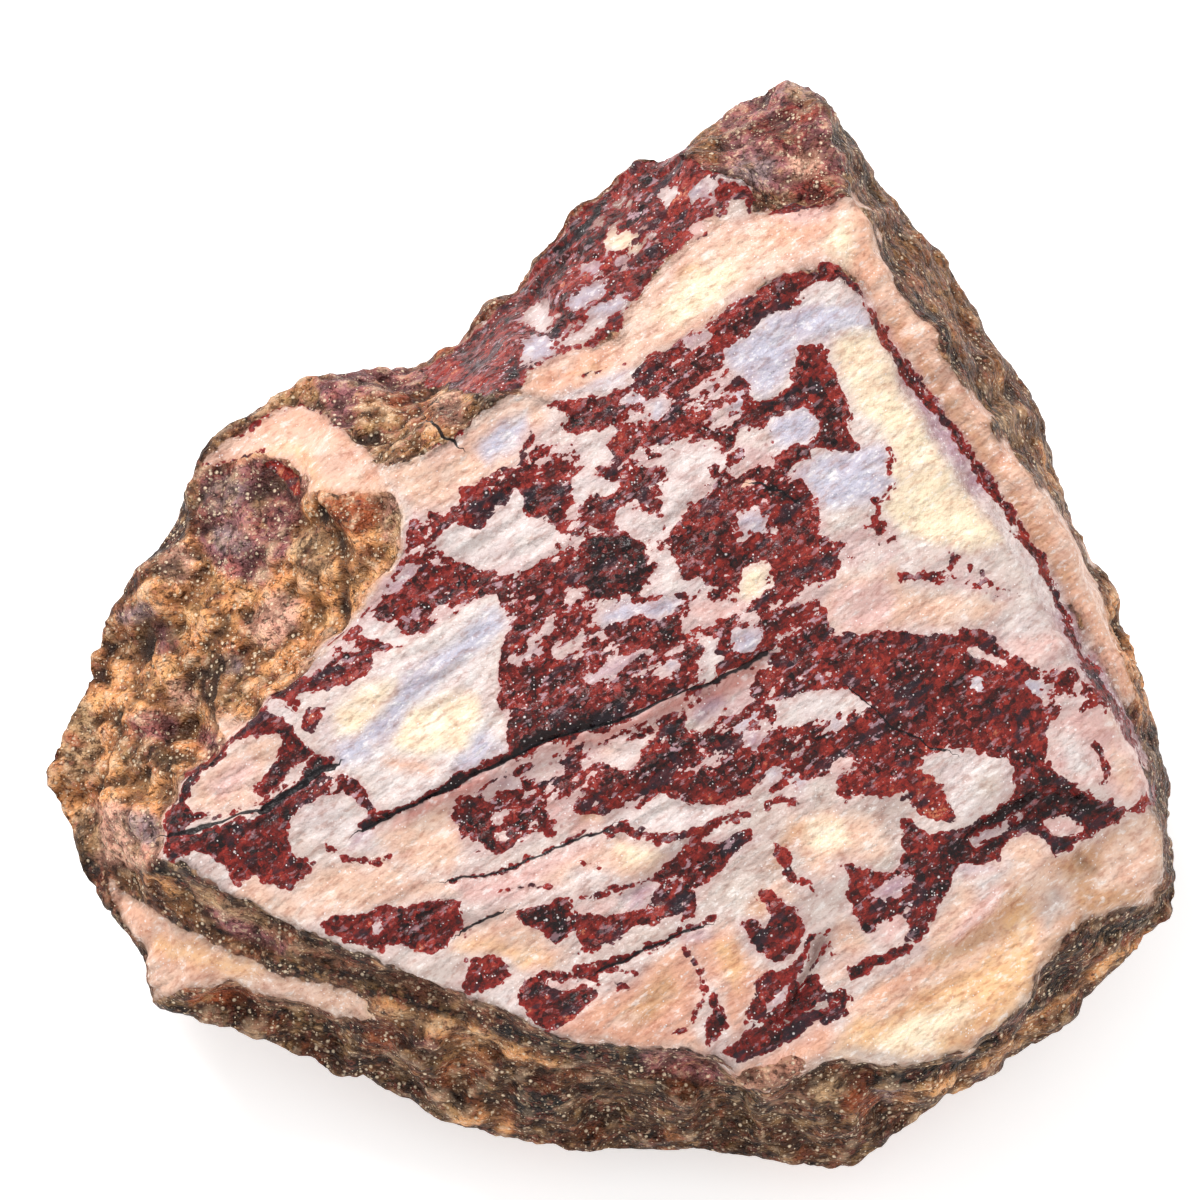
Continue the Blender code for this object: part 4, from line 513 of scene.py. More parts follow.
    ("red", 0.25, ((5.1, 6.5), (6, 6.9), (6.7, 7.2))),
    ("white", ((-1.8, 6.6), (-1.4, 7.6), (0, 7.6), (1.1, 7.2), (1.2, 6.2), (0.8, 6), (-0.2, 6.4),
        (-1.2, 5.6), (-1.7, 5.8))),
    ("white", ((3.4, 7.2), (4.4, 7.3), (5.4, 6.9), (5.6, 6), (4.9, 5.2), (4.8, 4.4), (4.2, 4), (3.7, 5),
        (3.8, 6.2))),
    ("maroon", ((-1.2, 6), (0.2, 6.3), (0.5, 5.8), (0.8, 5.1), (1, 4.8), (0.7, 4.3), (-0.8, 4.3))),
    ("white", ((1, 5.6), (2, 5.4), (3, 5.3), (4, 4.4), (4, 3.8), (3.2, 3.4), (2.4, 3.9), (1, 4.3))),
    ("black", ((-1, 3.9), (1, 4.1), (2, 3.9), (2.6, 3.6), (3, 3.2), (3.1, 2.6), (2.9, 2), (3.4, 1.8),
        (3, 1.4), (2.7, 0.8), (2.6, 0.2), (2.2, 0), (0, 0), (-1.4, 0.6), (-1.6, 2.4))),
    ("white", ((3.2, 3), (4.2, 2.8), (4.8, 2), (5, 1.4), (6.2, 1.7), (6.4, 0.9), (5.4, 0.2), (3.4, 0.2),
        (3.2, 1.2), (3.6, 1.9))),
    ("red", ((4.9, 4.5), (5, 5.2), (5.6, 5.6), (6.3, 6.1), (7, 6.3), (7.7, 6.9), (8.3, 7), (8, 6.3),
        (7.7, 5.8), (8, 5.3), (8.2, 4.9), (7.9, 4.3), (8.3, 4.1), (8.5, 3.5), (9.2, 3.4), (9.8, 3.8),
        (10.3, 3.9), (10.6, 4.4), (10.4, 5), (10.4, 5.4), (9.5, 5.4), (8.6, 5.3), (9.4, 5.7),
        (10.5, 5.7), (11, 6), (12, 6.2), (12.7, 5.9), (12.9, 5.3), (12.9, 4.4), (13.3, 3.8),
        (12.8, 3.2), (13.4, 3.2), (14, 3.5), (14.6, 3.4), (14.7, 3), (14.3, 2.5), (14.5, 2),
        (14.2, 1.4), (13.4, 1), (12.7, 1), (12, 0.8), (11.4, 0.4), (10.5, 0.1), (9.6, 0.1), (10.2, 0.6),
        (10.3, 1.2), (10.2, 1.9), (9.6, 2.2), (8.6, 2), (8.7, 1.4), (8.3, 0.9), (7.7, 0.9), (7.6, 1.5),
        (7, 1.6), (6.4, 1.8), (5.7, 1.8), (5.1, 1.5), (4.9, 1.9), (4.7, 2.3), (4.3, 2.9), (4.1, 3.4),
        (4.4, 3.7), (4.8, 4))),
    ("ice", ((8.2, 4.6), (8.6, 5.1), (9.6, 5.3), (10.3, 5.2), (10, 4.6), (10.2, 4.1), (9.4, 3.9),
        (8.6, 4.2))),
    ("yellow", ((8.3, 0.6), (8.6, 1.6), (9.3, 2.1), (10, 2.1), (10.3, 1.4), (10, 0.8), (9.7, 0.2),
        (9.2, 0), (8.6, 0.1))),
    ("red", ((6.5, 0.5), (6.6, 1.4), (7.5, 1.6), (8.2, 1.2), (8.4, 0.5), (7.5, 0.4))),
    ("black", 0.25, ((8.7, 2.2), (9.8, 2.7), (10.6, 3.2))),
    ("black", 0.22, ((10.8, 1), (12.2, 1.6))),
    ("thin", ((14, 3.4), (16, 5), (18, 4.2), (19, 2.6), (17, 1.8), (15, 1.6))),
    ("blood", 0.22, ((16.2, 5.2), (16.6, 4.6), (16.9, 4.1))),
    ("cream", ((14.6, 1.4), (17.6, 1.8), (18.4, 0.6), (20.4, 0.4), (22.6, 0.2), (24, -0.4), (23, -1.2),
        (20, -1.5), (17.6, -1.7), (15.2, -2.2), (13.9, -1.8), (13.2, -0.4), (13.8, 0.7))),
    ("rose", ((14, 0.8), (16.8, 1.4), (17.8, 0.2), (17, -1.6), (15, -2), (13.6, -0.8))),
    ("mottle", ((18, 1.1), (19.6, 1.9), (21.4, 2.8), (23.2, 1.6), (25.2, 0.2), (24.2, -0.1),
        (22.4, 0.3), (20.2, 0.8))),
    ("maroon", 0.45, ((18.2, 1.3), (19.5, 1.5), (20.5, 1.5), (21, 2.1), (21.4, 2.7))),
    ("red", 0.4, ((20.9, 2.2), (22.5, 2.1), (23.3, 1.2), (24.3, 0.7), (25.1, 0.1))),
    ("white", ((24.2, -1.3), (25, -0.8), (26, -0.4), (26.8, -1.4), (27.2, -2.2), (26.8, -2.8),
        (26.4, -3.5), (26, -4), (25.2, -3.6), (24.5, -2.8), (24.2, -2.1))),
    # Across the middle, over the crack
    ("thick", ((-6, 0.2), (-4.4, 0.8), (-1.6, 0), (2.6, -0.6), (5, -1.6), (6, -3), (6, -5), (3.8, -6.3),
        (1.8, -7.3), (-1, -8), (-3, -8.5), (-5.2, -9.4), (-5.3, -8.4), (-6.1, -7), (-6.5, -5.4),
        (-6.6, -4.2), (-5.9, -2.8), (-5.1, -1))),
    ("black", ((-6, -9.9), (-5, -9.3), (-4, -8.9), (-3, -8.5), (-2, -8), (0, -7.2), (1.4, -6.6),
        (2.2, -5.4), (0.6, -5.6), (-1.4, -6.6), (-3.6, -7.6), (-5.2, -8.4))),
    ("mottle", ((-5.6, -2.2), (-3.4, -1), (-0.4, -1.8), (2.4, -2.6), (4.8, -3), (5.6, -4.8), (3, -5),
        (0, -4.4), (-3, -3.4), (-5, -4))),
    ("lilac", ((-4.4, -3.4), (-3.8, -2.9), (-3.2, -3.2), (-3.8, -3.8))),
    ("lilac", 0.7, ((-0.5, -4.8), (0.8, -4.2), (2, -3.5))),
    ("ice", ((-2.1, -6.7), (-1.6, -6.3), (-1.1, -6.6), (-1.6, -7.1))),
    ("ice", ((0, -0.7), (1, -0.3), (2, 0), (5.5, 0), (4.6, -0.5), (4.2, -1.2), (3.4, -1.2), (2.7, -1.1),
        (2.5, -0.6), (2.2, -0.8), (2, -1.1), (1.5, -1.5), (0.6, -1.5), (0, -1.6))),
    ("rose", ((5, -0.2), (7, 0), (10, -0.4), (12, -0.2), (12.6, 0.4), (11, 0.1), (9.4, -0.2), (8, -1.2),
        (6, -1.4))),
    ("white", ((6.1, -2.6), (6.6, -2.2), (7.1, -2.2), (7, -3), (7.4, -3.6), (7.1, -4.2), (7.2, -4.8),
        (6.6, -5.1), (6, -5), (6, -4), (6.1, -3.3))),
    ("ice", ((7.6, -2.2), (8, -1.7), (8.8, -1.6), (9.4, -1.7), (9.8, -1.6), (9.7, -2.4), (9.6, -3),
        (9, -3), (8.4, -3.1), (7.9, -2.9))),
    ("rose", ((7.3, -4.9), (8, -4.2), (8.8, -4), (9.4, -3.8), (9, -4.4), (8.5, -4.8), (7.5, -5))),
    # Big red mass on the right
    ("thick", ((10, -1.2), (10.8, -0.5), (11.6, -0.3), (12.5, -0.3), (13, -0.6), (13.4, -1.2),
        (13.6, -1.9), (14, -2.4), (14.6, -2.7), (15.4, -2.6), (16, -2.3), (17, -2.1), (18, -2.1),
        (19, -1.8), (20.7, -1.9), (22, -1.6), (22.6, -1.4), (23.2, -1.5), (23.6, -1.9), (24.1, -2.2),
        (24.2, -2.6), (24.8, -3.3), (25.4, -3.8), (26, -4), (26.5, -3.4), (27.2, -2.9), (27.9, -3.5),
        (27.3, -4), (27, -5), (26.9, -6), (26.8, -7), (26.9, -8), (27.1, -9), (27, -9.7), (25.3, -10),
        (24.6, -9.9), (24, -9.6), (23.3, -9.4), (22.4, -9.2), (21.5, -9), (20.6, -9.1), (19.9, -9.4),
        (19.4, -9.9), (18, -11.8), (16, -11.5), (14.4, -10.5), (12, -11.6), (10, -12), (9, -11),
        (9.2, -8.8), (10.4, -7.6), (9, -5.4), (9.6, -3.6))),
    ("red", ((13.6, -2.2), (16, -2.4), (20, -2), (23.4, -1.9), (24.6, -3.6), (26.2, -4.2), (26.8, -6),
        (26.8, -9.4), (24, -9.2), (20.8, -8.6), (18.4, -9), (17.4, -6.4), (15.8, -5), (14, -4.6))),
    ("black", 0.5, ((21.8, -1.9), (22.8, -2.6), (23.6, -3.2))),
    ("rose", 0.4, ((22.5, -3), (23.4, -3.4), (24, -3.7))),
    ("ice", ((22.4, -5.2), (22.7, -4.9), (23, -5.2), (22.7, -5.5))),
    ("ice", ((25.4, -4.8), (26.2, -4.7), (26.6, -5.3), (26.4, -5.6), (25.8, -5.4))),
    ("white", ((10.2, -6.3), (10.9, -6), (11.8, -5.8), (12.6, -5.5), (13.4, -5.4), (14.4, -5.3),
        (15.2, -5.4), (15.6, -5.9), (15.9, -6.4), (15.5, -6.8), (14.8, -6.9), (13.6, -7.2),
        (12.6, -7.2), (11.8, -7.5), (11, -7.7), (10.6, -7.3))),
    ("lilac", ((5.2, -6.9), (5.8, -6.2), (6.6, -5.6), (7.4, -5.7), (7.6, -6.3), (7.1, -6.8),
        (6.4, -7.2), (5.6, -7.3))),
    ("grey", ((5, -7.4), (5.4, -7.1), (5.8, -7.5), (5.5, -8), (5, -7.9))),
    ("ice", ((8.1, -7.9), (8.2, -7.2), (8.9, -6.9), (9.5, -6.6), (9.3, -7.2), (8.8, -7.8))),
    ("rose", 0.45, ((3.3, -8), (4.3, -7.3), (5.2, -6.6))),
    ("thick", ((2.6, -8.4), (5, -8.2), (8.6, -8), (10, -8.4), (10, -10.6), (8.8, -12.2), (6, -12),
        (4, -11.2), (2, -11.8), (0, -12.8), (0.6, -10.6), (2.6, -9.6))),
    ("white", ((0.3, -9.6), (1, -8.9), (1.8, -8.5), (2.4, -8.3), (3.2, -8.3), (2.9, -8.8), (2.5, -9.3),
        (2.2, -9.7), (1.6, -10), (1.2, -10.3), (0.8, -10), (0.5, -10))),
    ("rose", 0.45, ((-1.5, -12), (-1, -11.2), (-0.5, -10.3))),
    ("black", 0.4, ((3, -8), (4.6, -8.25), (6, -8.3), (8, -8.2), (8.8, -7.8))),
    ("black", 0.6, ((4.2, -11.4), (5, -10.9), (6.4, -11.1), (9, -11.8))),
    ("white", ((2.2, -12.9), (2.7, -12.2), (3.3, -11.7), (3.8, -11.4), (4.2, -11.8), (4.5, -12.2),
        (5.2, -12.4), (6, -12.2), (6.8, -12.3), (7.3, -12.6), (6.8, -13.1), (6, -13.3), (5, -13.7),
        (4, -13.9), (3, -13.8), (2.3, -13.6), (0, -13.7), (0, -13.1), (1.9, -13.1))),
    ("rose", ((-3.5, -12), (-2.4, -12.2), (-1.3, -12.9), (0.2, -12.9), (0, -13.7), (-1.6, -13.7),
        (-3, -13))),
    ("orange", ((-1, -12.8), (-0.2, -12.6), (0.2, -12.9), (-0.4, -13.2), (-1, -13.2))),
    ("lilac", ((8.6, -8.5), (9.2, -7.9), (10, -8.4), (9.4, -9.2), (8.8, -9.1))),
    ("ice", ((10.1, -10.3), (10.5, -9.9), (10.9, -10.3), (10.5, -10.7))),
    ("ice", ((11.6, -10.9), (11.9, -10.5), (12.3, -10.8), (11.9, -11.2))),
    ("ice", ((13.6, -7.6), (14, -7.3), (14.4, -7.6), (14, -7.9))),
    ("ice", ((11.6, -2.6), (11.9, -2.3), (12.2, -2.6), (11.9, -2.9))),
    ("ice", ((3.9, -3.9), (4.3, -3.5), (4.8, -3.9), (4.3, -4.3))),
    ("rose", ((14, -9.6), (14.8, -9.4), (15.3, -9.8), (14.8, -10.2), (14.1, -10.2))),
    # The crack across the break, with its black seam and smooth lip, the lip pinkish red with painted
    # highlights
    ("black", ((-5.2, -8.6), (-3, -8.2), (0.8, -7.5), (0.5, -6.4), (-1.6, -5.6), (-3, -5.8),
        (-4.4, -7))),
    ("ink", 0.6, ((-14.2, -13.6), (-12.5, -12.8), (-10, -11.6), (-7.4, -10.3), (-5.2, -9.1),
        (-3.3, -8.4), (-0.9, -7.7), (0.6, -7.1))),
    # Pinkish red along the lip of the step: the lip's own colour, laid on as a painted highlight.
    ("lip", 0.42, ((-12.2, -13.3), (-10, -12.3), (-7.4, -11), (-4.7, -9.7), (-1.5, -8.6), (0.1, -8.1),
        (2.1, -7.3), (4.1, -6.5), (6.2, -5.9), (8.2, -5), (9.8, -4))),
    # A thin white stroke on the lip: painted highlight.
    ("white", 0.25, ((-6.4, -10.6), (-4.7, -9.8), (-2.6, -9.1))),
    ("black", 0.4, ((2.4, -7.9), (3.4, -7.5), (4.4, -7.2))),
    # Lower middle: swirls of red, cream and grey
    ("cream", ((0, -14.4), (1.1, -14.3), (2.4, -14.6), (3.6, -15), (4, -15.4), (3.4, -16.1), (2, -16.6),
        (1, -16.9), (-1.4, -17.2), (-3.6, -17), (-1.6, -15.4))),
    ("yellow", ((1, -14.6), (2.4, -14.9), (3.8, -15.3), (3, -16), (1.4, -15.9))),
    ("white", ((-1.6, -16.2), (0.6, -16.2), (1.2, -16.9), (-0.6, -17.3), (-2, -17.1))),
    ("blood", 0.2, ((-2.4, -15.2), (-1, -15.8), (0.6, -16.2))),
    ("maroon", 0.42, ((-2.7, -18.2), (-0.7, -17.8), (1.3, -17.4), (3.3, -16.6), (4.4, -16))),
    ("maroon", 0.65, ((0.4, -13.8), (1.4, -13.8), (3, -14.2), (4.5, -14.3), (6.2, -13.7), (7.4, -13.1),
        (9, -12.9))),
    ("thick", ((4.1, -15.6), (5.4, -14.7), (7, -14.1), (9.4, -13.7), (9.6, -14.5), (8.4, -15.5),
        (7.4, -16.6), (6, -17.6), (5.9, -18.9), (4.9, -19.8), (4, -20.1), (2.4, -19.6), (1.3, -19.9),
        (-1.9, -19.9), (-3.9, -19.7), (-5, -18.8), (-3.3, -18.4), (-1.5, -18.7), (1.3, -18.4),
        (2.9, -17.6), (3.7, -16.8))),
    ("lilac", ((1.6, -17.9), (2.6, -17.2), (3.2, -17.4), (2.8, -18.3), (2, -18.5))),
    ("rose", ((-1.6, -18.8), (-0.4, -18.1), (0.9, -18), (0.4, -18.8), (-0.8, -19.3))),
    ("black", ((-4.9, -18.8), (-3.9, -18.6), (-2.7, -18.7), (-2.1, -19), (-1.9, -19.8), (-2.3, -20.5),
        (-2.9, -20.4), (-3.3, -19.6), (-4.3, -19.2))),
    ("red", ((-1.9, -18.8), (-0.7, -18.8), (0.5, -19), (2, -18.8), (2.2, -19.6), (0.5, -20.5),
        (-0.7, -21.1), (-1.2, -20.2))),
    ("grey", ((8.2, -13.3), (9, -12.8), (9.1, -12.2), (9.6, -11.7), (10.3, -11.6), (10, -12.2),
        (10.3, -12.8), (11, -12.8), (12, -12.4), (12.6, -12), (13, -11.4), (13.5, -10.9), (14, -11.6),
        (14.6, -12), (15.4, -11.9), (16, -11.8), (17, -12), (18, -11.9), (18.2, -13.4), (17.6, -14.4),
        (17.9, -15.4), (17, -16.6), (15.4, -15.6), (14, -15.6), (13.4, -17.4), (12.6, -16.6),
        (12, -16.2), (11.8, -18), (9.6, -18.4), (7.4, -18.6), (6, -18.9), (6.6, -17.8), (7.8, -16.4),
        (9.2, -15.2), (9.8, -14.2))),
    ("cream", ((11.4, -13), (14, -12.6), (16.8, -13.2), (17.2, -15), (16, -15.8), (14.2, -15.6),
        (13.6, -16.6), (12.6, -16.2), (12, -15.4), (11, -14.4))),
    ("yellow", ((12.6, -13.2), (14.6, -13.2), (15, -14.6), (13.4, -15), (12.4, -14.4))),
    ("tan", 0.5, ((10.4, -15.9), (11, -14.4), (12.2, -13.8))),
    ("cream", ((8.9, -18.9), (9.6, -17.4), (10.9, -16.9), (11.8, -17.8), (10.4, -18.1), (9.6, -19.2))),
    ("tan", 0.5, ((9.2, -18.6), (9.7, -18.2))),
    ("red", ((10.2, -14.2), (10.8, -14.5), (11.3, -15.1), (11.6, -16.2), (12.4, -16.7), (13.4, -17.6),
        (13.2, -17.8), (12, -17), (11.1, -16.6), (10.6, -15.7))),
    ("blood", 0.7, ((9.8, -17.8), (10, -17.8))),
    ("maroon", 0.5, ((10, -12.5), (10.6, -12.2), (11.4, -12.2), (11.8, -12.1))),
    ("blood", ((14, -11.6), (14.1, -10.9), (14.4, -10.5), (15, -10.4), (16.6, -10.6), (18, -11),
        (18.4, -11.9), (17, -11.9), (16, -11.6), (15.2, -11.9), (14.6, -12))),
    ("thick", ((10.1, -18.3), (10.9, -18), (11.9, -18.2), (12.5, -19), (12.8, -19.8), (12.3, -20.9),
        (11.6, -21.8), (10.3, -22), (9.3, -21.4), (8.6, -20.7), (8.1, -19.8), (8.6, -19.1),
        (9.9, -19.2))),
    ("maroon", ((10.4, -18.6), (11.6, -18.6), (12.3, -19.6), (11.8, -20.9), (10.8, -21.5), (9.6, -20.9),
        (8.9, -20.1), (10.1, -19.7))),
    ("peach", ((5.4, -19.9), (6.8, -19.6), (7.9, -19.4), (8.2, -20.6), (8.9, -21.5), (10.2, -22.3),
        (9.4, -23.1), (9, -24.4), (8.6, -25.8), (8, -26.2), (7.4, -24.8), (6.8, -23.4), (6.2, -22.2),
        (5.4, -21))),
    ("orange", ((7, -20.4), (8, -20.6), (8.7, -22), (8.4, -23.2), (7.4, -22.2))),
    ("peach", ((-2.3, -25.9), (-0.3, -24.1), (2.2, -22.7), (3.8, -21.1), (5.1, -20.7), (5.8, -21.8),
        (6.1, -23.1), (5.9, -24.6), (5.3, -25.8), (6.4, -27.2), (4.2, -26.9), (2, -26.9),
        (0.1, -26.4))),
    ("tan", ((1, -25.2), (2.8, -23.2), (4.1, -22.4), (4.6, -23.6), (3.2, -25), (2, -25.6))),
    ("red", 0.16, ((5, -20.9), (5.8, -21.8), (6.2, -23.1), (5.9, -24.5), (5.4, -25.6), (4.4, -26.3))),
    ("maroon", ((5.9, -21.6), (6.4, -21.9), (6.5, -22.9), (6.4, -23.7), (7, -23.7), (7.6, -25.1),
        (7.2, -26.3), (6.7, -27.3), (6.2, -26.3), (6.4, -24.9), (6.2, -23.4))),
    ("grey", ((-1.1, -21.7), (0.1, -21.1), (2.2, -20.2), (4, -19.1), (4.9, -19.4), (3.6, -20.3),
        (1.4, -21.5), (-0.3, -22))),
    ("black", 0.42, ((-3.5, -22.4), (-1.1, -22.1), (0.9, -21.7), (2.6, -21), (4, -20.3), (5.4, -19.7),
        (6.9, -19))),
    ("maroon", 0.35, ((-1.9, -22.5), (0.4, -22.2), (2.2, -22.4), (2, -23), (1, -23.2))),
    ("lilac", ((4.8, -20.2), (5.6, -19.9), (6.6, -19.7), (6.7, -20.2), (6, -20.5), (5.2, -20.6))),
    ("red", ((9.5, -22.7), (11.5, -22.1), (11.6, -23.3), (10.4, -24.5), (9.8, -25.4), (8.9, -25.3),
        (9.1, -24.3))),
    ("red", ((9.4, -22.6), (11.4, -21.8), (12.4, -22.6), (13.2, -22.6), (12, -24.2), (10.4, -25.4),
        (8.8, -25.6), (8.9, -24.4))),
    ("lilac", 0.3, ((10.2, -24.5), (11.2, -23.4), (11.7, -22.5))),
    ("maroon", ((7.2, -27.1), (8, -26.5), (9.3, -25.7), (10.7, -24.7), (11.9, -23.9), (12.4, -22.6),
        (13.2, -22.9), (13.7, -23.3), (15, -23.1), (16.1, -22.3), (17.4, -21.7), (18.6, -21.3),
        (19.2, -20.3), (19.9, -19.2), (20.3, -18.2), (18.9, -18.9), (18.1, -18.8), (17.1, -19.2),
        (18.2, -19.8), (18.7, -20.6), (17.4, -21), (16, -21.5), (14.9, -22.2), (14.7, -23.4),
        (15.3, -23.9), (14.9, -24.7), (14.1, -25.3), (12.9, -25.5), (12.1, -26.3), (10.9, -26.9),
        (9.3, -27.5), (8, -27.7))),
    ("black", ((12.3, -20.3), (13.9, -19.4), (13.7, -20.7), (12.9, -21.9), (12.1, -23.5), (11.2, -24.3),
        (11.3, -22.6), (11.8, -21.4))),
    ("bark", 0.5, ((12, -23), (12.6, -21.8), (13.3, -20.4))),
    ("bark", 0.2, ((10.6, -25.6), (11.8, -24.7), (13, -24.5), (14, -24.3))),
    ("thick", ((14.1, -15.6), (15.3, -15.6), (16.5, -16.2), (17.4, -16.2), (17.9, -15), (20, -14.4),
        (20.8, -16.8), (20.2, -18.1), (18.9, -19.3), (18.1, -18.8), (17.1, -19.2), (16.5, -20.1),
        (15.7, -19.8), (15.1, -19), (14.9, -17.8), (14.7, -16.8))),
    ("lilac", ((16.2, -17.6), (17, -16.8), (18.2, -16.4), (18.9, -17.1), (18.1, -17.7), (17, -18.1))),
    ("maroon", ((14.5, -15.8), (15.6, -15.9), (16.2, -16.9), (15.6, -17.8), (15.8, -18.8), (15.4, -19),
        (15, -17.8))),
    ("rose", ((16.6, -20.2), (17.1, -19.4), (18, -19), (18.5, -19.6), (18.2, -20.5), (17.2, -20.9))),
    ("cream", ((13.9, -20.6), (14, -19.8), (14.6, -19.2), (15.3, -19.5), (16, -20.3), (16.2, -20.8),
        (15.6, -21.3), (14.8, -21.5), (14, -21.2))),
    ("maroon", 0.35, ((14, -21.3), (14.2, -21.3))),
    ("maroon", 0.3, ((14.6, -21.5), (14.9, -21.5))),
    ("cream", ((13.4, -22.4), (14.4, -21.8), (15.2, -21.9), (14.8, -22.5), (13.8, -22.8))),
    ("maroon", 0.6, ((12.9, -22.8), (13.1, -23.4))),
    ("peach", ((8, -28.3), (9.5, -27.6), (10.9, -27), (12.1, -26.4), (12.9, -25.6), (13.9, -25.5),
        (14, -26.4), (13.7, -27.1), (12.5, -27.8), (11, -28.7), (9.7, -29.5), (8.2, -29))),
    ("blush", ((8.2, -28.6), (10, -27.8), (11.6, -27.4), (12.4, -27.8), (11, -28.8), (9.6, -29.6),
        (8.2, -29.1))),
    # Right corner
    ("maroon", ((18, -13.2), (20, -14), (22.1, -13.5), (24.1, -12.1), (25.7, -11.3), (27.3, -11.1),
        (28.9, -11.3), (30.5, -11.9), (31.9, -12.6), (31.2, -13.4), (29.7, -14.2), (28.5, -14.8),
        (27.3, -15.4), (26.7, -14.6), (25.9, -13.9), (24.9, -14.5), (24.5, -15.3), (22.9, -15.7),
        (21.3, -16.5), (20.8, -17.6), (19.9, -18.4), (19.2, -17.4), (18.2, -15.7))),
    ("ink", 0.35, ((22.4, -13.9), (24.2, -12.7), (26, -11.9), (28, -11.9), (29.8, -12.6), (31.2, -13))),
    ("black", 0.4, ((24.8, -13.6), (26.4, -12.7), (28.4, -12.8), (30, -13.6))),
    ("lilac", 0.3, ((22.6, -14.4), (24, -13.6), (25.2, -12.9))),
    ("black", ((28.6, -13.4), (29.6, -12.9), (31, -12.8), (30.2, -13.6), (29, -14.1))),
    ("blood", ((18, -10.4), (19.2, -10), (20.2, -10.8), (21, -12), (21.4, -13.2), (20, -13.2),
        (18.6, -12.4))),
    ("maroon", ((24.7, -9.3), (26, -9.4), (27.1, -9.6), (27.2, -10.3), (27.9, -10.9), (28.9, -11.3),
        (27.3, -11.6), (25.7, -11.8), (24.6, -12), (24.9, -10.6))),
    ("white", ((19.4, -9.5), (20.4, -9.1), (22.1, -9.1), (23.3, -9.5), (24.7, -9.7), (24.9, -10.3),
        (24.5, -11.5), (23.5, -12.1), (22.5, -12.9), (21.9, -13.3), (21.3, -12.5), (20.8, -11.1),
        (20.2, -10.3))),
    ("grey", ((22.6, -10.6), (23.8, -10.4), (24.4, -11.2), (23.4, -12), (22.6, -11.8))),
    ("rose", ((26.7, -13.3), (28.1, -13.1), (29.1, -13.7), (28.5, -14.1), (27.3, -14.1))),
    ("cream", ((24.5, -14.5), (25.7, -13.9), (26.7, -14.9), (26.9, -15.5), (25.9, -16.7), (24.5, -18.2),
        (23.1, -19.8), (22.1, -20.6), (19.8, -21.2), (19.4, -20.6), (20, -19.4), (20.9, -18),
        (22.1, -16.7), (23.5, -15.9))),
    ("white", ((22.2, -17), (23.6, -16.2), (24.4, -15.2), (24.8, -15.8), (24, -17), (22.8, -17.9))),
    ("lilac", ((21.4, -16.4), (22, -15.9), (23, -16), (23.4, -16.1), (22.4, -16.6))),
    ("blush", 0.5, ((21.6, -20.2), (22.8, -18.9), (24, -17.8))),
    ("rose", 0.8, ((21.4, -20.4), (22.6, -19), (23.9, -17.6))),
    ("blood", 0.3, ((17.4, 9), (17.6, 8.2), (17.3, 7.6))),
    ("red", 0.35, ((17.7, 6.8), (17.2, 6.2), (16.4, 5.9), (16.7, 5.1), (16.5, 4.4), (16.9, 3.9))),
    ("blood", 0.3, ((16.9, 3.1), (16.6, 2.5))),
    ("rose", ((24.1, -2.4), (27.3, -1.8), (27.9, -2.8), (26.9, -3.7), (26.1, -4), (24.7, -3.2))),
    ("ice", ((25.3, -4.8), (26.4, -5), (26.5, -5.4), (25.8, -5.4))),
    ("ice", 0.5, ((22.6, -5), (22.8, -5.3))),
    ("mottle", ((26.8, -4.6), (28.1, -4), (29.2, -5), (29.9, -6.2), (29.2, -7), (28, -7), (27.3, -7.6),
        (26.6, -6.6))),
    ("mottle", ((27, -3.4), (28.4, -4), (29.6, -5.6), (30.6, -7.2), (29.4, -8.2), (28.4, -8.7),
        (27.2, -7.6), (26.8, -5.6))),
    ("rose", ((27.4, -7.2), (28.4, -6.6), (29.6, -7.4), (30, -9), (29.8, -10.6), (28.6, -11),
        (27.4, -9.8))),
    ("cream", ((30.4, -6.6), (31.2, -7.4), (32, -9), (32.6, -10.6), (31.8, -11.6), (30.8, -10.8),
        (30.4, -9), (30.1, -7.6))),
    ("blood", 0.3, ((28.9, -6.4), (29.4, -6.9))),
    ("blood", 0.25, ((29.9, -7.1), (30.4, -7.3))),
    ("rose", ((29.6, -6.4), (30, -6.2), (30.7, -7.5), (31.8, -8.5), (32.6, -9.7), (32.8, -11.3),
        (32, -12), (30.9, -11.7), (29.9, -10.9), (28.9, -11.1), (27.9, -10.7), (27.1, -10.1),
        (27.1, -8.7), (27.8, -7.7), (28.6, -7.2), (29, -6.2))),
    ("white", ((27.4, -8), (28.3, -7.9), (29.3, -8.9), (29.8, -10), (29, -10.8), (27.8, -10.2))),
    ("cream", ((30.8, -8.8), (31.6, -9.4), (32.2, -10.8), (31.6, -11.6), (30.8, -10.6))),
    ("maroon", 0.5, ((29.3, -8.4), (30.1, -9.1), (30.3, -10), (30.2, -10.9))),
    ("red", 0.4, ((28.9, -6.7), (29.3, -6.1))),
    ("blood", ((32.6, -11.5), (33, -11.6), (33.2, -12.2), (32.6, -12.8), (32, -12.9), (31.7, -12.5))),
    # Slab at the lower right
    ("tan", ((27, -15.6), (28, -15.3), (29, -15), (30, -14.4), (31, -13.8), (32, -13.2), (33, -12.8),
        (33.5, -13.5), (33.8, -14.6), (33.6, -15.8), (33.2, -16.8), (32.6, -18.2), (30.9, -18.5),
        (29.4, -18.8), (27.8, -20), (26.6, -21.8), (25.6, -23.4), (24.6, -22), (25.2, -19), (26, -17))),
    ("cream", ((30.2, -14.8), (32, -13.6), (33.2, -13.4), (33.5, -15.2), (32.8, -17.4), (31.2, -17.4),
        (29.6, -17), (29.4, -15.8))),
    ("cream", ((26.4, -16.2), (27.4, -15.8), (28, -16.8), (28.6, -17.8), (28, -19), (26.8, -20.6),
        (25.9, -22.4), (25.6, -20.4), (25.6, -18))),
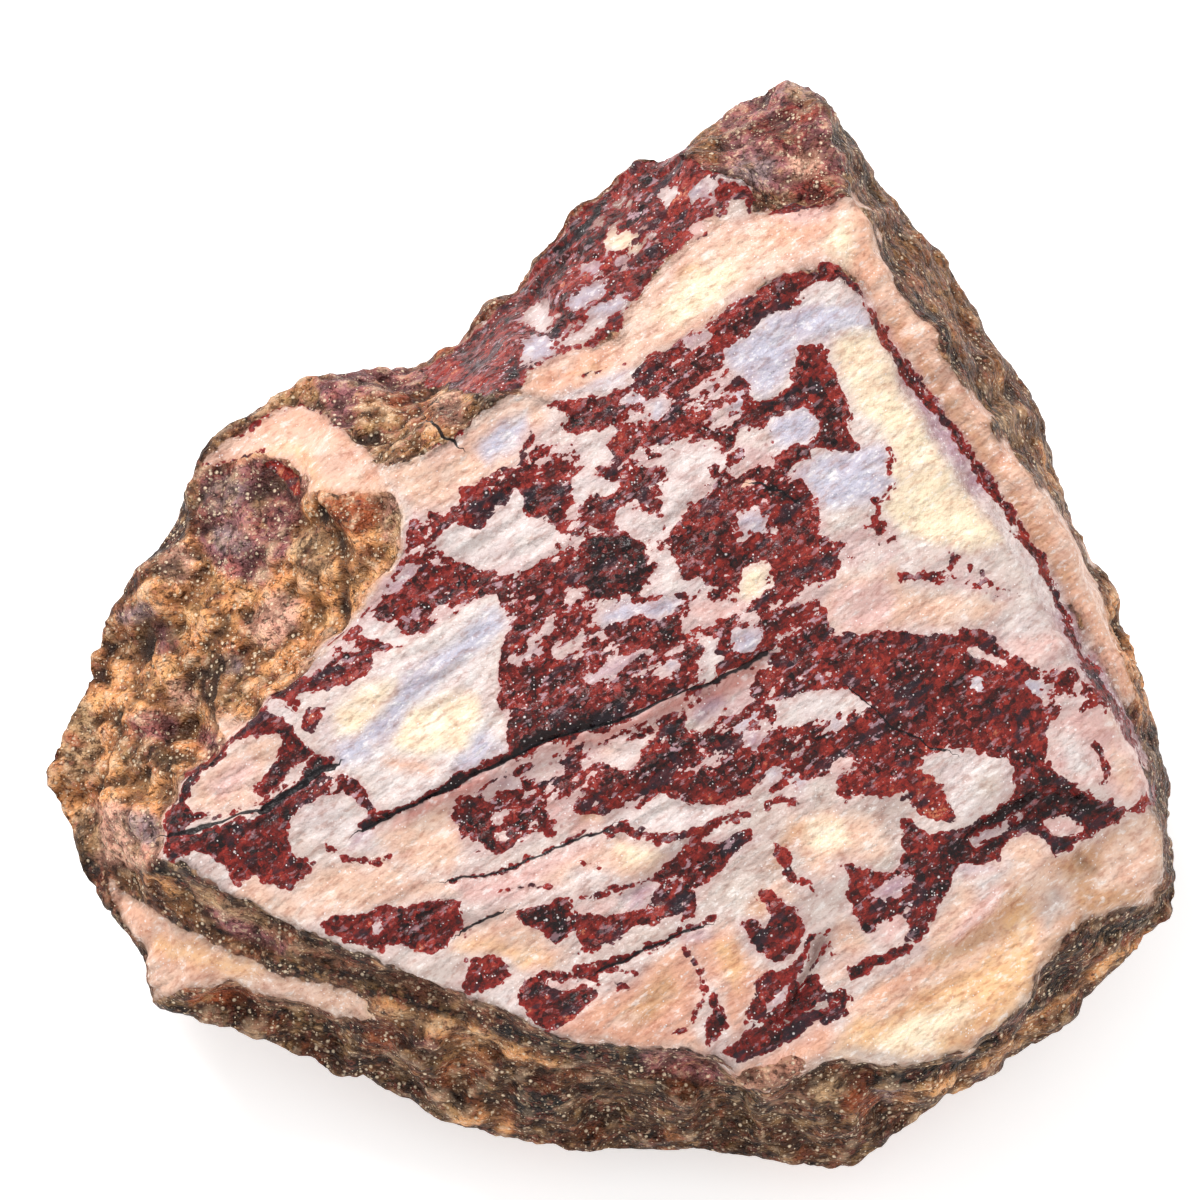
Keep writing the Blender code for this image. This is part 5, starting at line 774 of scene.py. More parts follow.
    ("grey", ((27.2, -17), (28.2, -17.6), (28, -18.8), (26.8, -20), (26.4, -19), (26.8, -18))),
    ("tan", ((28.2, -15.3), (29.6, -14.9), (30.2, -15.8), (29.2, -16.6), (28.2, -16.4))),
    ("bark", 0.12, ((28.6, -15.4), (29.2, -16), (29.6, -16.2))),
    ("orange", ((18, -27.9), (19, -27.8), (20.3, -27.3), (21.5, -27), (22.1, -26.7), (22.5, -26.2),
        (23.4, -25.6), (24.4, -25), (25, -24.2), (25.6, -23.7), (25.9, -22.8), (26, -21.6), (26, -20),
        (25.8, -18.6), (25.4, -17.4), (24.4, -18.4), (23.6, -19.4), (22.4, -20.6), (21.2, -21),
        (19.4, -21.6), (18.2, -22.4), (16.6, -23.4), (15.4, -24.2), (15.2, -25.2), (14.4, -26.2),
        (14, -27.2), (15.9, -27.7))),
    ("cream", ((15.4, -24.8), (17.2, -23.4), (19.4, -22), (21, -21.3), (22.6, -20.8), (24, -19.4),
        (24.2, -20.6), (22.4, -22), (20.4, -23.2), (18.4, -24.2), (16.6, -25.4))),
    ("yellow", ((16.2, -26.6), (18.4, -25.2), (20.6, -24.4), (22.6, -24.2), (22, -25.6), (20, -26.8),
        (17.6, -27.3))),
    ("grey", ((14.6, -27), (16.6, -27), (18.6, -27.3), (20.2, -27.1), (19, -27.9), (15.9, -27.9))),
    ("peach", 0.8, ((15, -24.4), (16.4, -23.8), (18, -22.8), (19.6, -22))),
    ("tan", 0.5, ((19.4, -23.8), (20.6, -23.1), (21.6, -22.6))),
    ("tan", 0.3, ((20.4, -26.2), (21, -25.9), (21.6, -25.6))),
    ("tan", 0.35, ((20, -21.6), (21, -20.9), (22, -20.7), (23, -20), (24, -18.9), (25, -18))),
    # Layers of the front wall
    ("brown", ((-31.6, -15), (-29.8, -16.2), (-28, -16.6), (-26.4, -17.8), (-25, -18.6), (-21, -19.6),
        (-16, -21.8), (-13, -22.8), (-11, -24.2), (-13, -24.6), (-16, -23.8), (-20, -22.4),
        (-24, -20.8), (-26, -19.2), (-28, -17.4), (-31, -16.8))),
    ("amber", ((-27.5, -16.3), (-26.1, -16.7), (-24.9, -18), (-23.7, -18.9), (-24.3, -19.3),
        (-25.9, -18.3), (-27.1, -17.2))),
    ("umber", 0.35, ((-28.4, -16.6), (-26.8, -18), (-24.6, -19.6), (-22, -20.8), (-18, -22.2),
        (-14, -23.4))),
    ("clay", ((-24.9, -16.7), (-23.3, -17.1), (-21.7, -18.3), (-18.9, -20), (-17.6, -20.9),
        (-18.9, -21.1), (-20.9, -20.2), (-23.3, -19), (-24.5, -17.6))),
    ("buff", ((-24.6, -17), (-23.4, -17.4), (-22, -18.6), (-20.4, -19.6), (-21.4, -19.7),
        (-23.2, -18.5))),
    ("plum", ((-24, -18.7), (-22.4, -18.7), (-20.9, -19.7), (-18.8, -20.6), (-19, -21.2),
        (-21.6, -20.4))),
    ("clay", 0.9, ((-17.4, -20.5), (-15, -21.8), (-12.4, -22.8), (-9, -24), (-6, -25.3),
        (-3.4, -26.4))),
    ("dark", 0.4, ((-25.2, -15.9), (-23.6, -16.9), (-21.7, -18), (-19.8, -19.2), (-17.6, -20.3),
        (-15, -21.4), (-12.8, -22.2))),
    ("dark", 0.6, ((-20, -21.7), (-17, -22.4), (-14, -23), (-11, -23.9), (-9, -24.6), (-5, -26),
        (-2, -27), (0, -27.4), (2, -27.8), (4, -28), (6, -28.6), (8, -29.8), (10, -30.2))),
    ("cream", ((-29.8, -16.5), (-29, -17.1), (-27.7, -18.1), (-26.3, -19.1), (-25.3, -19.7),
        (-24.1, -20.1), (-22.1, -21.3), (-18.9, -22.5), (-16, -23.3), (-13, -24.1), (-12.4, -24.8),
        (-14, -25.3), (-15.6, -24.9), (-18.9, -23.9), (-20.9, -23.5), (-21.7, -22.9), (-23.3, -23.1),
        (-24.9, -23.3), (-26.7, -23.9), (-27.1, -22.9), (-27.3, -21.3), (-28.2, -19.9),
        (-28.8, -18.7))),
    ("peach", ((-29.2, -17.6), (-27.4, -18.6), (-25.6, -20.2), (-24, -21), (-22, -22.2), (-24, -22.6),
        (-26.4, -21.6), (-27.6, -20))),
    ("orange", 0.7, ((-26.4, -20.6), (-24.8, -21.4), (-23, -21.8), (-20.6, -22.4))),
    ("rust", ((-25, -23.6), (-23.3, -23.3), (-21.8, -23.1), (-20.6, -23.8), (-21.7, -24.2),
        (-24, -24.4))),
    ("tan", 0.5, ((-25, -20.6), (-24, -20.9), (-23.4, -21.2))),
    ("dark", 0.6, ((-31.4, -14.4), (-30, -16.7), (-29.2, -18.6), (-28.2, -20.9), (-27.6, -22.8))),
    ("dark", 0.5, ((-26.6, -24.3), (-24, -24.5), (-22, -24.4), (-19, -24.8), (-16, -25.6),
        (-12.6, -25.6))),
    ("amber", ((-14, -23.9), (-12.6, -24), (-11, -24.8), (-8, -25.4), (-5, -26.6), (-2.5, -27.6),
        (-3, -28.2), (-6, -27.4), (-9, -26.6), (-11.6, -26), (-13, -25.2))),
    ("buff", 0.4, ((-13.8, -24.6), (-11.6, -25.1), (-8.6, -25.9), (-6, -26.8))),
    ("rust", ((-14, -25.3), (-12.6, -25.5), (-12, -26.4), (-12.6, -27), (-14, -26.8))),
    ("umber", ((-9.6, -26.8), (-8, -26.6), (-7.4, -27.8), (-8.8, -28.6), (-9.8, -28))),
    ("plum", ((-11.4, -26.8), (-10.2, -26.2), (-9.4, -26.8), (-10.2, -27.6), (-11, -27.6))),
    ("dark", ((-5.4, -29.7), (-4.2, -28.9), (-2.6, -29.4), (-2, -30.2), (-3, -31), (-4.6, -31))),
    ("dark", ((-5.8, -30.4), (-5, -29.2), (-3.8, -28.8), (-4.6, -29.8))),
    ("amber", 0.8, ((-8.4, -31.2), (-6.6, -30.8), (-5.6, -31.6))),
    ("plum", ((2.5, -27.3), (5, -27.2), (7.2, -27.8), (7.8, -28.8), (5.6, -28.8), (3, -28.2))),
    ("clay", ((9.8, -29.9), (11, -29.3), (12.6, -29), (12.2, -30), (10.6, -30.6))),
    ("buff", ((12.6, -29.4), (14, -28.8), (15, -29.4), (14.4, -30.4), (13, -30.4))),
    ("rust", ((14.4, -29.6), (15.4, -29.2), (16.6, -29.8), (16, -31), (14.6, -31))),
    ("mist", ((16.6, -29.4), (18, -29.2), (18.6, -30), (17.4, -30.4))),
    # A dark stroke under a low ledge of the wall at the lower right: painted shadow line.
    ("dark", 0.8, ((15.4, -28.4), (17.6, -28.7), (19.6, -28.4), (22, -27.6), (24.4, -26.1), (26, -24.4),
        (27.8, -22.4), (29, -21), (30, -20.2), (31.2, -19.6), (33, -19.2))),
    ("amber", 0.7, ((18, -29.9), (21, -29), (24, -27.2), (26.4, -25.2), (28.6, -23.4), (30.6, -21.6),
        (33, -20.4))),
    ("ochre", ((3.4, -32), (4.4, -31.6), (5.2, -32.2), (4.4, -32.8))),
]

# How soft each paint's border is, how far around itself a mark is felt, the deepest red and none at
# all, how uneven the borders of plain pale and of plain red are, and how soon red hides the crust.
FEATHER = {"pale": 0.6, "red": 0.3, "mix": 0.5, "crust": 0.34}
REACH = 2.2
DEEPEST_RED = 1.5
NO_RED = -3.0
CALM = 0.12
CALM_RED = 0.16
RED_OVER_CRUST = 0.4


def inside_distance(u, v, loop):
    """How deep each of many points lies inside a closed loop. It is negative outside."""
    start = np.array(loop, float)
    end = np.roll(start, -1, axis=0)
    run = end - start
    off_u = u[:, None] - start[:, 0]
    off_v = v[:, None] - start[:, 1]
    share = np.clip((off_u * run[:, 0] + off_v * run[:, 1]) / (run**2).sum(1), 0, 1)
    gap = np.hypot(off_u - share * run[:, 0], off_v - share * run[:, 1]).min(1)
    spans = (start[:, 1] > v[:, None]) != (end[:, 1] > v[:, None])
    rise = np.where(run[:, 1] == 0, 1, run[:, 1])
    left_of = off_u < run[:, 0] * off_v / rise
    odd = (spans & left_of).sum(1) % 2 == 1
    return np.where(odd, gap, -gap)


def line_side(u, v, line):
    """How far each of many points lies from a line, negative on its right, by its nearest run."""
    start = np.array(line[:-1], float)
    run = np.array(line[1:], float) - start
    off_u = u[:, None] - start[:, 0]
    off_v = v[:, None] - start[:, 1]
    share = np.clip((off_u * run[:, 0] + off_v * run[:, 1]) / (run**2).sum(1), 0, 1)
    gap = np.hypot(off_u - share * run[:, 0], off_v - share * run[:, 1])
    nearest = gap.argmin(1)
    rows = np.arange(len(u))
    left = run[nearest, 0] * off_v[rows, nearest] > run[nearest, 1] * off_u[rows, nearest]
    return np.where(left, 1, -1) * gap[rows, nearest]


def noise_at(points, size, seed):
    """Smooth noise, about -0.7 to 0.7, at each point, with features of about that size."""
    shift = Vector((seed, 2.7 * seed, -1.3 * seed))
    return np.array([noise.noise(Vector(point) / size + shift) for point in points])


def as_light(colour):
    """The light that a colour from 0 to 255 in each channel stands for."""
    share = np.array(colour) / 255
    return np.where(share <= 0.04045, share / 12.92, ((share + 0.055) / 1.055) ** 2.4)


def eased(level, low, high):
    """0 below low, 1 above high, and a soft step between, for each of many numbers."""
    share = np.clip((level - low) / (high - low), 0, 1)
    return share * share * (3 - 2 * share)


def painted(u, v):
    """Ground colour, red's depth, brightness and unevenness, crust and its lumps, for points seen."""
    total = len(u)
    ground = np.tile(as_light(PAINTS["brown"][1]), (total, 1))
    red = np.full(total, NO_RED)
    tone = np.zeros(total)
    uneven = np.full(total, CALM)
    crust = np.ones(total)
    lumpy = np.full(total, 0.5)
    for mark in MARKS:
        paint = PAINTS[mark[0]]
        line = mark[-1]
        corners = np.array(line)
        low = corners.min(0) - REACH
        high = corners.max(0) + REACH
        near = np.nonzero((u > low[0]) & (u < high[0]) & (v > low[1]) & (v < high[1]))[0]
        if not len(near):
            continue
        if len(mark) == 3:
            depth = mark[1] / 2 - abs(line_side(u[near], v[near], line))
        else:
            depth = inside_distance(u[near], v[near], line)
        feather = FEATHER[paint[0]]
        laid = eased(depth, -feather, feather)
        if paint[0] in ("pale", "crust"):
            ground[near] += (as_light(paint[1]) - ground[near]) * laid[:, None]
            red[near] = np.minimum(red[near], np.where(depth > -REACH, -depth, red[near]))
            uneven[near] += (CALM - uneven[near]) * laid
            crust[near] += ((paint[0] == "crust") - crust[near]) * laid
            if paint[0] == "crust":
                lumpy[near] += (paint[2] - lumpy[near]) * laid
        elif paint[0] == "red":
            red[near] = np.maximum(red[near], np.minimum(depth, DEEPEST_RED))
            tone[near] += (paint[1] - tone[near]) * laid
            uneven[near] += (CALM_RED - uneven[near]) * laid
            crust[near] -= crust[near] * eased(depth, 0, RED_OVER_CRUST)
        else:
            red[near] += (paint[1] - red[near]) * laid
            uneven[near] += (paint[2] - uneven[near]) * laid
            crust[near] -= crust[near] * laid
    return ground, red, tone, uneven, crust, lumpy


def wandered(direction, seeds):
    """A direction's places led astray a little, so that no border is drawn straight."""
    broad, fine, steep_broad, steep_fine = seeds
    moved = direction + 0.3 * noise_at(places, 1.3, broad) + 0.14 * noise_at(places, 0.5, fine)
    strays = 0.7 * noise_at(places, 3.2, steep_broad) + 0.4 * noise_at(places, 1.4, steep_fine)
    return moved + (1 - eased(facing, 0.1, 0.6)) * strays


warped_across = wandered(across, (5, 6, 9, 10))
warped_up = wandered(up, (7, 8, 11, 12))
ground, red, tone, uneven, crust, lumpy = painted(warped_across, warped_up)

# Hidden back: brown crust with broad patches of the crust's other colours, laid on by noise
BACK_SHADES = ((0.0, (104, 80, 58)), (0.35, (128, 92, 60)), (0.5, (150, 108, 70)), (1.0, (86, 66, 50)))
# Each patch: paint, size, seed and the level of noise from which it shows.
BACK_PATCHES = (
    ("umber", 8.0, 51, 0.0), ("ochre", 6.0, 52, 0.16), ("plum", 5.5, 53, 0.22),
    ("dark", 6.5, 54, 0.14), ("rust", 3.6, 55, 0.26), ("buff", 3.0, 56, 0.34),
)
PATCH_STRENGTH = 0.8
PATCH_BORDER = 0.16
BACK_LUMPS = 0.4
flattened = places * np.array([1, 1, 2.2])
broad = noise_at(places, 9.0, 21) + 0.5 * noise_at(flattened, 4.0, 22) + 0.5
shade_levels = [level for level, _ in BACK_SHADES]
shade_lights = np.array([as_light(shade) for _, shade in BACK_SHADES])
back = np.stack([np.interp(broad, shade_levels, light) for light in shade_lights.T], 1)
layered_places = places * np.array([1, 1, 1.7])
for paint, size, seed, start in BACK_PATCHES:
    patch = noise_at(layered_places, size, seed) + 0.25 * noise_at(places, 1.6, seed + 10)
    laid = PATCH_STRENGTH * eased(patch, start, start + PATCH_BORDER)
    back += (as_light(PAINTS[paint][1]) - back) * laid[:, None]
ground = back + (ground - back) * in_sight[:, None]
red = NO_RED + (red - NO_RED) * in_sight
crust = 1 + (crust - 1) * in_sight
lumpy = BACK_LUMPS + (lumpy - BACK_LUMPS) * in_sight

# Cracks: depth, width and line, in millimetres. Each is cut into the relief, and its middle is painted
# near black as shade.
CRACKS = (
    (0.5, 0.5, ((-14.2, -13.9), (-12.5, -13), (-10, -11.8), (-7.4, -10.5), (-5.2, -9.3), (-3.3, -8.6),
        (-0.9, -7.9), (0.6, -7.4), (2.1, -6.8), (4.1, -6), (6.2, -5.4), (8.2, -4.6), (10, -3.4))),
    (0.6, 1.1, ((-20.2, -12.5), (-18.8, -11.5), (-17.6, -10.6), (-16.3, -9.9))),
    (0.35, 0.5, ((-26, -14.1), (-24.9, -13.8), (-22.7, -13.2), (-20.7, -12.5))),
    (0.2, 0.3, ((9.2, 7), (10, 6.9), (10.9, 6.4), (11.7, 6))),
    (0.2, 0.22, ((15, -5.3), (15.6, -5.9), (16.4, -6.6), (18, -7.8), (19, -8.3), (20.8, -9.1))),
    (0.1, 0.2, ((-9, -16.7), (-7, -16.5), (-5, -15.8), (-3, -15.1), (-1, -14.1), (0.6, -13.6))),
    (0.2, 0.4, ((-10.2, 10.8), (-9.4, 10), (-8.7, 9.5))),
    (0.15, 0.3, ((-8.2, -19.9), (-7.2, -19.4), (-6, -18.8))),
    (0.2, 0.3, ((0, -22.2), (1.6, -21.5), (3.4, -20.6), (4.6, -20.1), (6.2, -19.6))),
)
FAR_FROM_CRACKS = 9.0
SHADED_SHARE_OF_WIDTH = 0.28
cut = np.zeros(len(across))
slit = np.full(len(across), FAR_FROM_CRACKS)
slit_width = np.full(len(across), 0.1)
for depth, width, line in CRACKS:
    side = line_side(warped_across, warped_up, line)
    closeness = np.clip(1 - abs(side) / width, 0, 1)
    cut = np.maximum(cut, depth * closeness)
    nearer = abs(side) < abs(slit)
    slit = np.where(nearer, side, slit)
    slit_width = np.where(nearer, SHADED_SHARE_OF_WIDTH * width, slit_width)
cut *= in_sight
slit_near = eased(1.2 - abs(slit), 0, 0.5) * in_sight

# Relief of the break: low steps that climb across it, and streaks along them
STEP_SPACING = 2.4
STEP_WANDER = 1.6
STEP_HEIGHT = 0.34
STREAK_SIZE = np.array([5.0, 1.1, 3.0])
STEP_SIZE = np.array([9.0, 3.0, 5.0])
step_phase = over / STEP_SPACING + STEP_WANDER * noise_at(lie_of_stone / STEP_SIZE, 1.0, 34)
step_height = STEP_HEIGHT * eased(noise_at(places, 6.0, 35), -0.25, 0.35)
step_height *= 1 - 0.85 * eased(across, 5, 13)
steps = (0.5 - step_phase + np.floor(step_phase)) * step_height
break_relief = steps + 0.16 * noise_at(lie_of_stone / STREAK_SIZE, 1.0, 31)
break_relief += 0.1 * noise_at(places, 1.3, 32) + 0.04 * noise_at(places, 0.6, 33)

# Relief of the crust: sugary lumps in two sizes, over thin layers
LUMP_SIZE = 1.5
SMALL_LUMP_SIZE = 0.7
LUMP_BORDER = 0.75


def cell_distance(points, size):
    """How far each point lies from the middle of its lump, in sizes of a lump."""
    return np.minimum([noise.voronoi(Vector(point) / size)[0][0] for point in points], LUMP_BORDER)


layered = places * np.array([0.35, 0.35, 1.0])
shifted = places + 0.5 * noise_at(places, 0.9, 44)[:, None]
lumps = cell_distance(shifted, LUMP_SIZE)
small_lumps = cell_distance(shifted, SMALL_LUMP_SIZE)
crust_relief = lumpy * (0.25 - 0.8 * lumps**2 - 0.3 * small_lumps**2) + 0.28 * noise_at(layered, 1.0, 41)
crust_relief += 0.2 * noise_at(places, 2.6, 42) + 0.1 * noise_at(layered * 2, 1.0, 43)
# How sunk the crust is, for painted shade in its hollows and painted light on its raised parts.
sunk = np.clip(-0.1 - crust_relief * 2.2, -1, 1) * crust

lift = break_relief + (crust_relief - break_relief) * crust - cut
lift *= np.clip(places[:, 2] / (4 * FOOT_LEVEL) - 0.25, 0, 1)
places += normals * lift[:, None]
stone_mesh.vertices.foreach_set("co", (places * MM).ravel())
stone_mesh.update()
stone_mesh.shade_smooth()


def keep(name, kind, field, values):
    """Each corner's own value, kept on the mesh for the shading."""
    made = stone_mesh.attributes.new(name, kind, "POINT")
    made.data.foreach_set(field, np.ascontiguousarray(values, np.float32).ravel())


keep("ground", "FLOAT_COLOR", "color", np.column_stack([ground, np.ones(len(ground))]))
kept_numbers = {
    "red": red,
    "tone": tone,
    "uneven": uneven,
    "crust": crust,
    "slit": slit,
    "slit_width": slit_width,
    "slit_near": slit_near,
    "sunk": sunk,
    "lumpy": lumpy * crust,
    "lump_edge": lumps,
}
for name, values in kept_numbers.items():
    keep(name, "FLOAT", "value", values)
keep("lie", "FLOAT_VECTOR", "vector", lie_of_stone)

# Shading: the colours of the markings, broken up into grains that catch the light, some with painted
# highlights, and the rough matt crust
jasper = bpy.data.materials.new("jasper")
jasper.use_nodes = True
tree = jasper.node_tree
shader = tree.nodes["Principled BSDF"]


def node(kind, **settings):
    """A new step of the shading, with these settings."""
    made = tree.nodes.new(kind)
    for name, value in settings.items():
        setattr(made, name, value)
    return made


def feed(source, target):
    """A number set on a socket, or another step led into it."""
    if isinstance(source, (int, float)):
        target.default_value = source
    else:
        tree.links.new(source, target)


def kept(name, kind="Fac"):
    """A value that was kept on the mesh."""
    return node("ShaderNodeAttribute", attribute_name=name).outputs[kind]


def reckon(operation, first, *others, clamp=False):
    """One step of arithmetic on numbers or sockets."""
    made = node("ShaderNodeMath", operation=operation, use_clamp=clamp)
    for socket, value in zip(made.inputs, (first, *others)):
        feed(value, socket)
    return made.outputs[0]


def product(first, *others):
    """All of these multiplied."""
    for other in others:
        first = reckon("MULTIPLY", first, other)
    return first


def total(first, *others):
    """All of these added."""
    for other in others:
        first = reckon("ADD", first, other)
    return first


def stepped(value, low, high):
    """0 below low, 1 above high, and an eased step between. It falls where low is the higher."""
    made = node("ShaderNodeMapRange", interpolation_type="SMOOTHSTEP")
    feed(value, made.inputs["Value"])
    feed(low, made.inputs["From Min"])
    feed(high, made.inputs["From Max"])
    return made.outputs["Result"]


def blended(share, low, high, kind="MIX"):
    """Colour low laid over with colour high by the share."""
    made = node("ShaderNodeMix", data_type="RGBA", blend_type=kind)
    feed(share, made.inputs["Factor"])
    for socket, colour in ((made.inputs[6], low), (made.inputs[7], high)):
        if isinstance(colour, tuple):
            socket.default_value = (*as_light(colour), 1)
        else:
            feed(colour, socket)
    return made.outputs[2]


def glazed(below, tint, source, start, full, strength=1.0, kind="MIX"):
    """A colour under a tint that shows from start, is full at full, and is that strong there."""
    return blended(product(stepped(source, start, full), strength), below, tint, kind)


def scaled(source, amounts):
    """A place stretched or squeezed along its three directions."""
    made = node("ShaderNodeVectorMath", operation="MULTIPLY")
    feed(source, made.inputs[0])
    made.inputs[1].default_value = amounts
    return made.outputs[0]


def noise_of(source, scale, detail, rough):
    """Smooth noise from 0 to 1, with that many finer layers of that roughness."""
    made = node("ShaderNodeTexNoise")
    feed(source, made.inputs["Vector"])
    feed(scale, made.inputs["Scale"])
    feed(detail, made.inputs["Detail"])
    feed(rough, made.inputs["Roughness"])
    return made.outputs["Fac"]


def cells_of(source, scale):
    """Cells of a size: how far from the middle, a direction, and three numbers of chance for each."""
    made = node("ShaderNodeTexVoronoi")
    feed(source, made.inputs["Vector"])
    feed(scale, made.inputs["Scale"])
    split = node("ShaderNodeSeparateColor")
    feed(made.outputs["Color"], split.inputs["Color"])
    return made.outputs["Distance"], made.outputs["Color"], split.outputs


def seams_of(source, scale, width):
    """Thin wandering lines: 1 along them, 0 away from them."""
    away = reckon("ABSOLUTE", reckon("SUBTRACT", noise_of(source, scale, 2, 0.5), 0.5))
    return stepped(away, width, 0)


def centred(source, amount):
    """A number from 0 to 1 as one that swings about 0, by half the amount each way."""
    return product(reckon("SUBTRACT", source, 0.5), amount)


in_mm = scaled(node("ShaderNodeTexCoord").outputs["Object"], (MM_IN_A_METRE,) * 3)
lie = kept("lie", "Vector")
red_depth = kept("red")
red_tone = kept("tone")
red_uneven = kept("uneven")
crust_share = kept("crust")
sunk_depth = kept("sunk")
ground_colour = kept("ground", "Color")

# Grains of the rock, finer cells between them for small painted highlights and red blotches, and lobes
# that the borders of the red follow
grain_edge, grain_face, (luck, luck_two, _) = cells_of(in_mm, scale=3.0)
spark_edge, _, (spark_luck, spark_two, _) = cells_of(in_mm, scale=6.5)
lobes, _, (lobe_luck, _, lobe_three) = cells_of(in_mm, scale=2.3)
ragged = noise_of(scaled(lie, (0.34, 0.72, 0.5)), scale=1.0, detail=3, rough=0.55)
speckle = noise_of(in_mm, scale=1.7, detail=2, rough=0.4)
broken = noise_of(scaled(lie, (1.1, 1.9, 1.5)), scale=1.0, detail=3, rough=0.6)
raggedness = product(total(centred(ragged, 4.2), centred(broken, 2.6)), red_uneven)
edge = total(red_depth, raggedness)
edge = total(edge, product(reckon("SUBTRACT", 0.42, lobes), 0.26), centred(lobe_luck, 0.2))

# Red jasper: its own blotches, from nearly black to bright, with lilac grains in the uneven parts
BLACK_RED = (30, 19, 20)
RED_SHADES = (
    (-1.9, -0.9, (70, 24, 22)),
    (-0.8, 0.1, (112, 32, 28)),
    (0.2, 1.4, (150, 48, 39)),
    (1.9, 2.7, (192, 112, 82)),
)
BRIGHT_RIM = (152, 36, 34)
RED_SEAM = (38, 16, 17)
INKY_RED = (42, 34, 42)
LILAC_GRAIN = (182, 146, 154)
blotch = noise_of(scaled(lie, (0.5, 1.15, 0.8)), scale=0.85, detail=3, rough=0.66)
warmth = total(centred(blotch, 8.0), red_tone, centred(luck_two, 1.9), centred(spark_two, 1.1))
red_colour = BLACK_RED
for start, full, shade in RED_SHADES:
    red_colour = glazed(red_colour, shade, warmth, start, full)
red_colour = glazed(red_colour, BRIGHT_RIM, edge, start=0.26, full=0.02, strength=0.6)
fresh_seams = seams_of(scaled(lie, (0.8, 1.6, 1.2)), scale=1.3, width=0.035)
red_colour = blended(product(fresh_seams, 0.55), red_colour, RED_SEAM)
inky = noise_of(scaled(lie, (0.5, 1.0, 0.8)), scale=0.8, detail=2, rough=0.65)
red_colour = glazed(red_colour, INKY_RED, inky, start=0.56, full=0.64, strength=0.75)
wisps = noise_of(scaled(lie, (1.0, 2.0, 1.6)), scale=1.2, detail=3, rough=0.6)
lilac_share = product(stepped(wisps, 0.58, 0.66), total(product(red_uneven, 0.85), 0.24))
lilac_share = product(lilac_share, stepped(red_tone, -2.5, -1.2))
red_colour = blended(lilac_share, red_colour, LILAC_GRAIN)

# Pale chalcedony: cloudy, mauve where it is broken up among the red, with painted highlights in its
# light dapples
HAZE = (230, 218, 220)
CLOUD_WHITE = (250, 240, 230)
DAPPLE_SHADE = (226, 210, 206)
DAPPLE_HIGHLIGHT = (255, 250, 246)
PALE_SEAM = (204, 168, 150)
MAUVE = (192, 146, 148)
DULL_GRAIN = (214, 186, 176)
RED_FLECK = (146, 62, 62)
haze = noise_of(scaled(lie, (0.5, 1.1, 0.7)), scale=0.5, detail=1, rough=0.6)
cloud = noise_of(scaled(lie, (0.5, 0.8, 0.6)), scale=0.9, detail=2, rough=0.6)
dapple = noise_of(scaled(lie, (1.2, 2.6, 1.8)), scale=1.0, detail=2, rough=0.65)
pale = glazed(ground_colour, HAZE, haze, start=0.45, full=0.68, strength=0.6, kind="MULTIPLY")
pale = glazed(pale, CLOUD_WHITE, cloud, start=0.5, full=0.72, strength=0.3)
pale = glazed(pale, DAPPLE_SHADE, dapple, start=0.5, full=0.3, kind="MULTIPLY")
# The light dapples: painted highlights on the waxy pale stone.
pale = glazed(pale, DAPPLE_HIGHLIGHT, dapple, start=0.56, full=0.7, strength=0.45)
pale = blended(product(fresh_seams, 0.2), pale, PALE_SEAM)
mauve_strength = total(product(red_uneven, 0.55), 0.06)
pale = glazed(pale, MAUVE, edge, start=-1.3, full=-0.05, strength=mauve_strength)
pale = glazed(pale, DULL_GRAIN, luck_two, start=0.86, full=0.98, strength=0.16)
flecks = product(stepped(lobe_three, 0.7, 0.82), stepped(lobes, 0.34, 0.2))
pale = blended(product(flecks, product(red_uneven, 0.75)), pale, RED_FLECK)

# The break: red and pale meet at a crisp border, and some grains get painted white highlights
PAINTED_HIGHLIGHT = (250, 242, 240)
PAINTED_HIGHLIGHT_STRENGTH = 0.8
fresh_colour = glazed(pale, red_colour, edge, start=-0.04, full=0.03)
# Patches where grains get white dots, and the dots on single grains and fine cells: painted highlights.
highlight_patches = stepped(noise_of(in_mm, scale=0.9, detail=1, rough=0.5), 0.36, 0.62)
small_highlight = product(stepped(spark_luck, 0.88, 0.92), stepped(spark_edge, 0.42, 0.2))
grain_highlight = product(stepped(luck, 0.9, 0.94), stepped(grain_edge, 0.34, 0.1))
painted_highlight = product(reckon("MAXIMUM", small_highlight, grain_highlight), highlight_patches)
fresh_colour = blended(product(painted_highlight, PAINTED_HIGHLIGHT_STRENGTH), fresh_colour, PAINTED_HIGHLIGHT)

# Crust: rusty and sandy crumbs, thin layers, painted shade in hollows, creases and between the lumps,
# painted light on the tops of the lumps, and painted highlights on grains
RUSTY_CRUMB = (204, 104, 62)
SANDY_CRUMB = (220, 178, 122)
LAYER_BROWN = (150, 122, 100)
FIBRE_SHADE = (104, 82, 70)
FIBRE_TAN = (236, 188, 136)
ROSY_GRAIN = (190, 112, 98)
CREASE_SHADE = (96, 78, 68)
PALE_GRIT = (252, 222, 188)
WALL_SHADE = (200, 168, 138)
LUMP_TOP_LIGHT = (255, 214, 176)
HOLLOW_SHADE = (46, 30, 22)
RAISED_LIGHT = (250, 206, 166)
CRUST_PAINTED_HIGHLIGHT = (250, 226, 194)
lump_share = kept("lumpy")
lump_edge = kept("lump_edge")
flat_share = reckon("SUBTRACT", 0.85, lump_share, clamp=True)
crumbs = noise_of(in_mm, scale=0.5, detail=2, rough=0.62)
layers = noise_of(scaled(lie, (0.1, 0.1, 0.8)), scale=1.0, detail=1, rough=0.6)
fibres = noise_of(scaled(in_mm, (0.6, 0.6, 1.5)), scale=1.2, detail=3, rough=0.7)
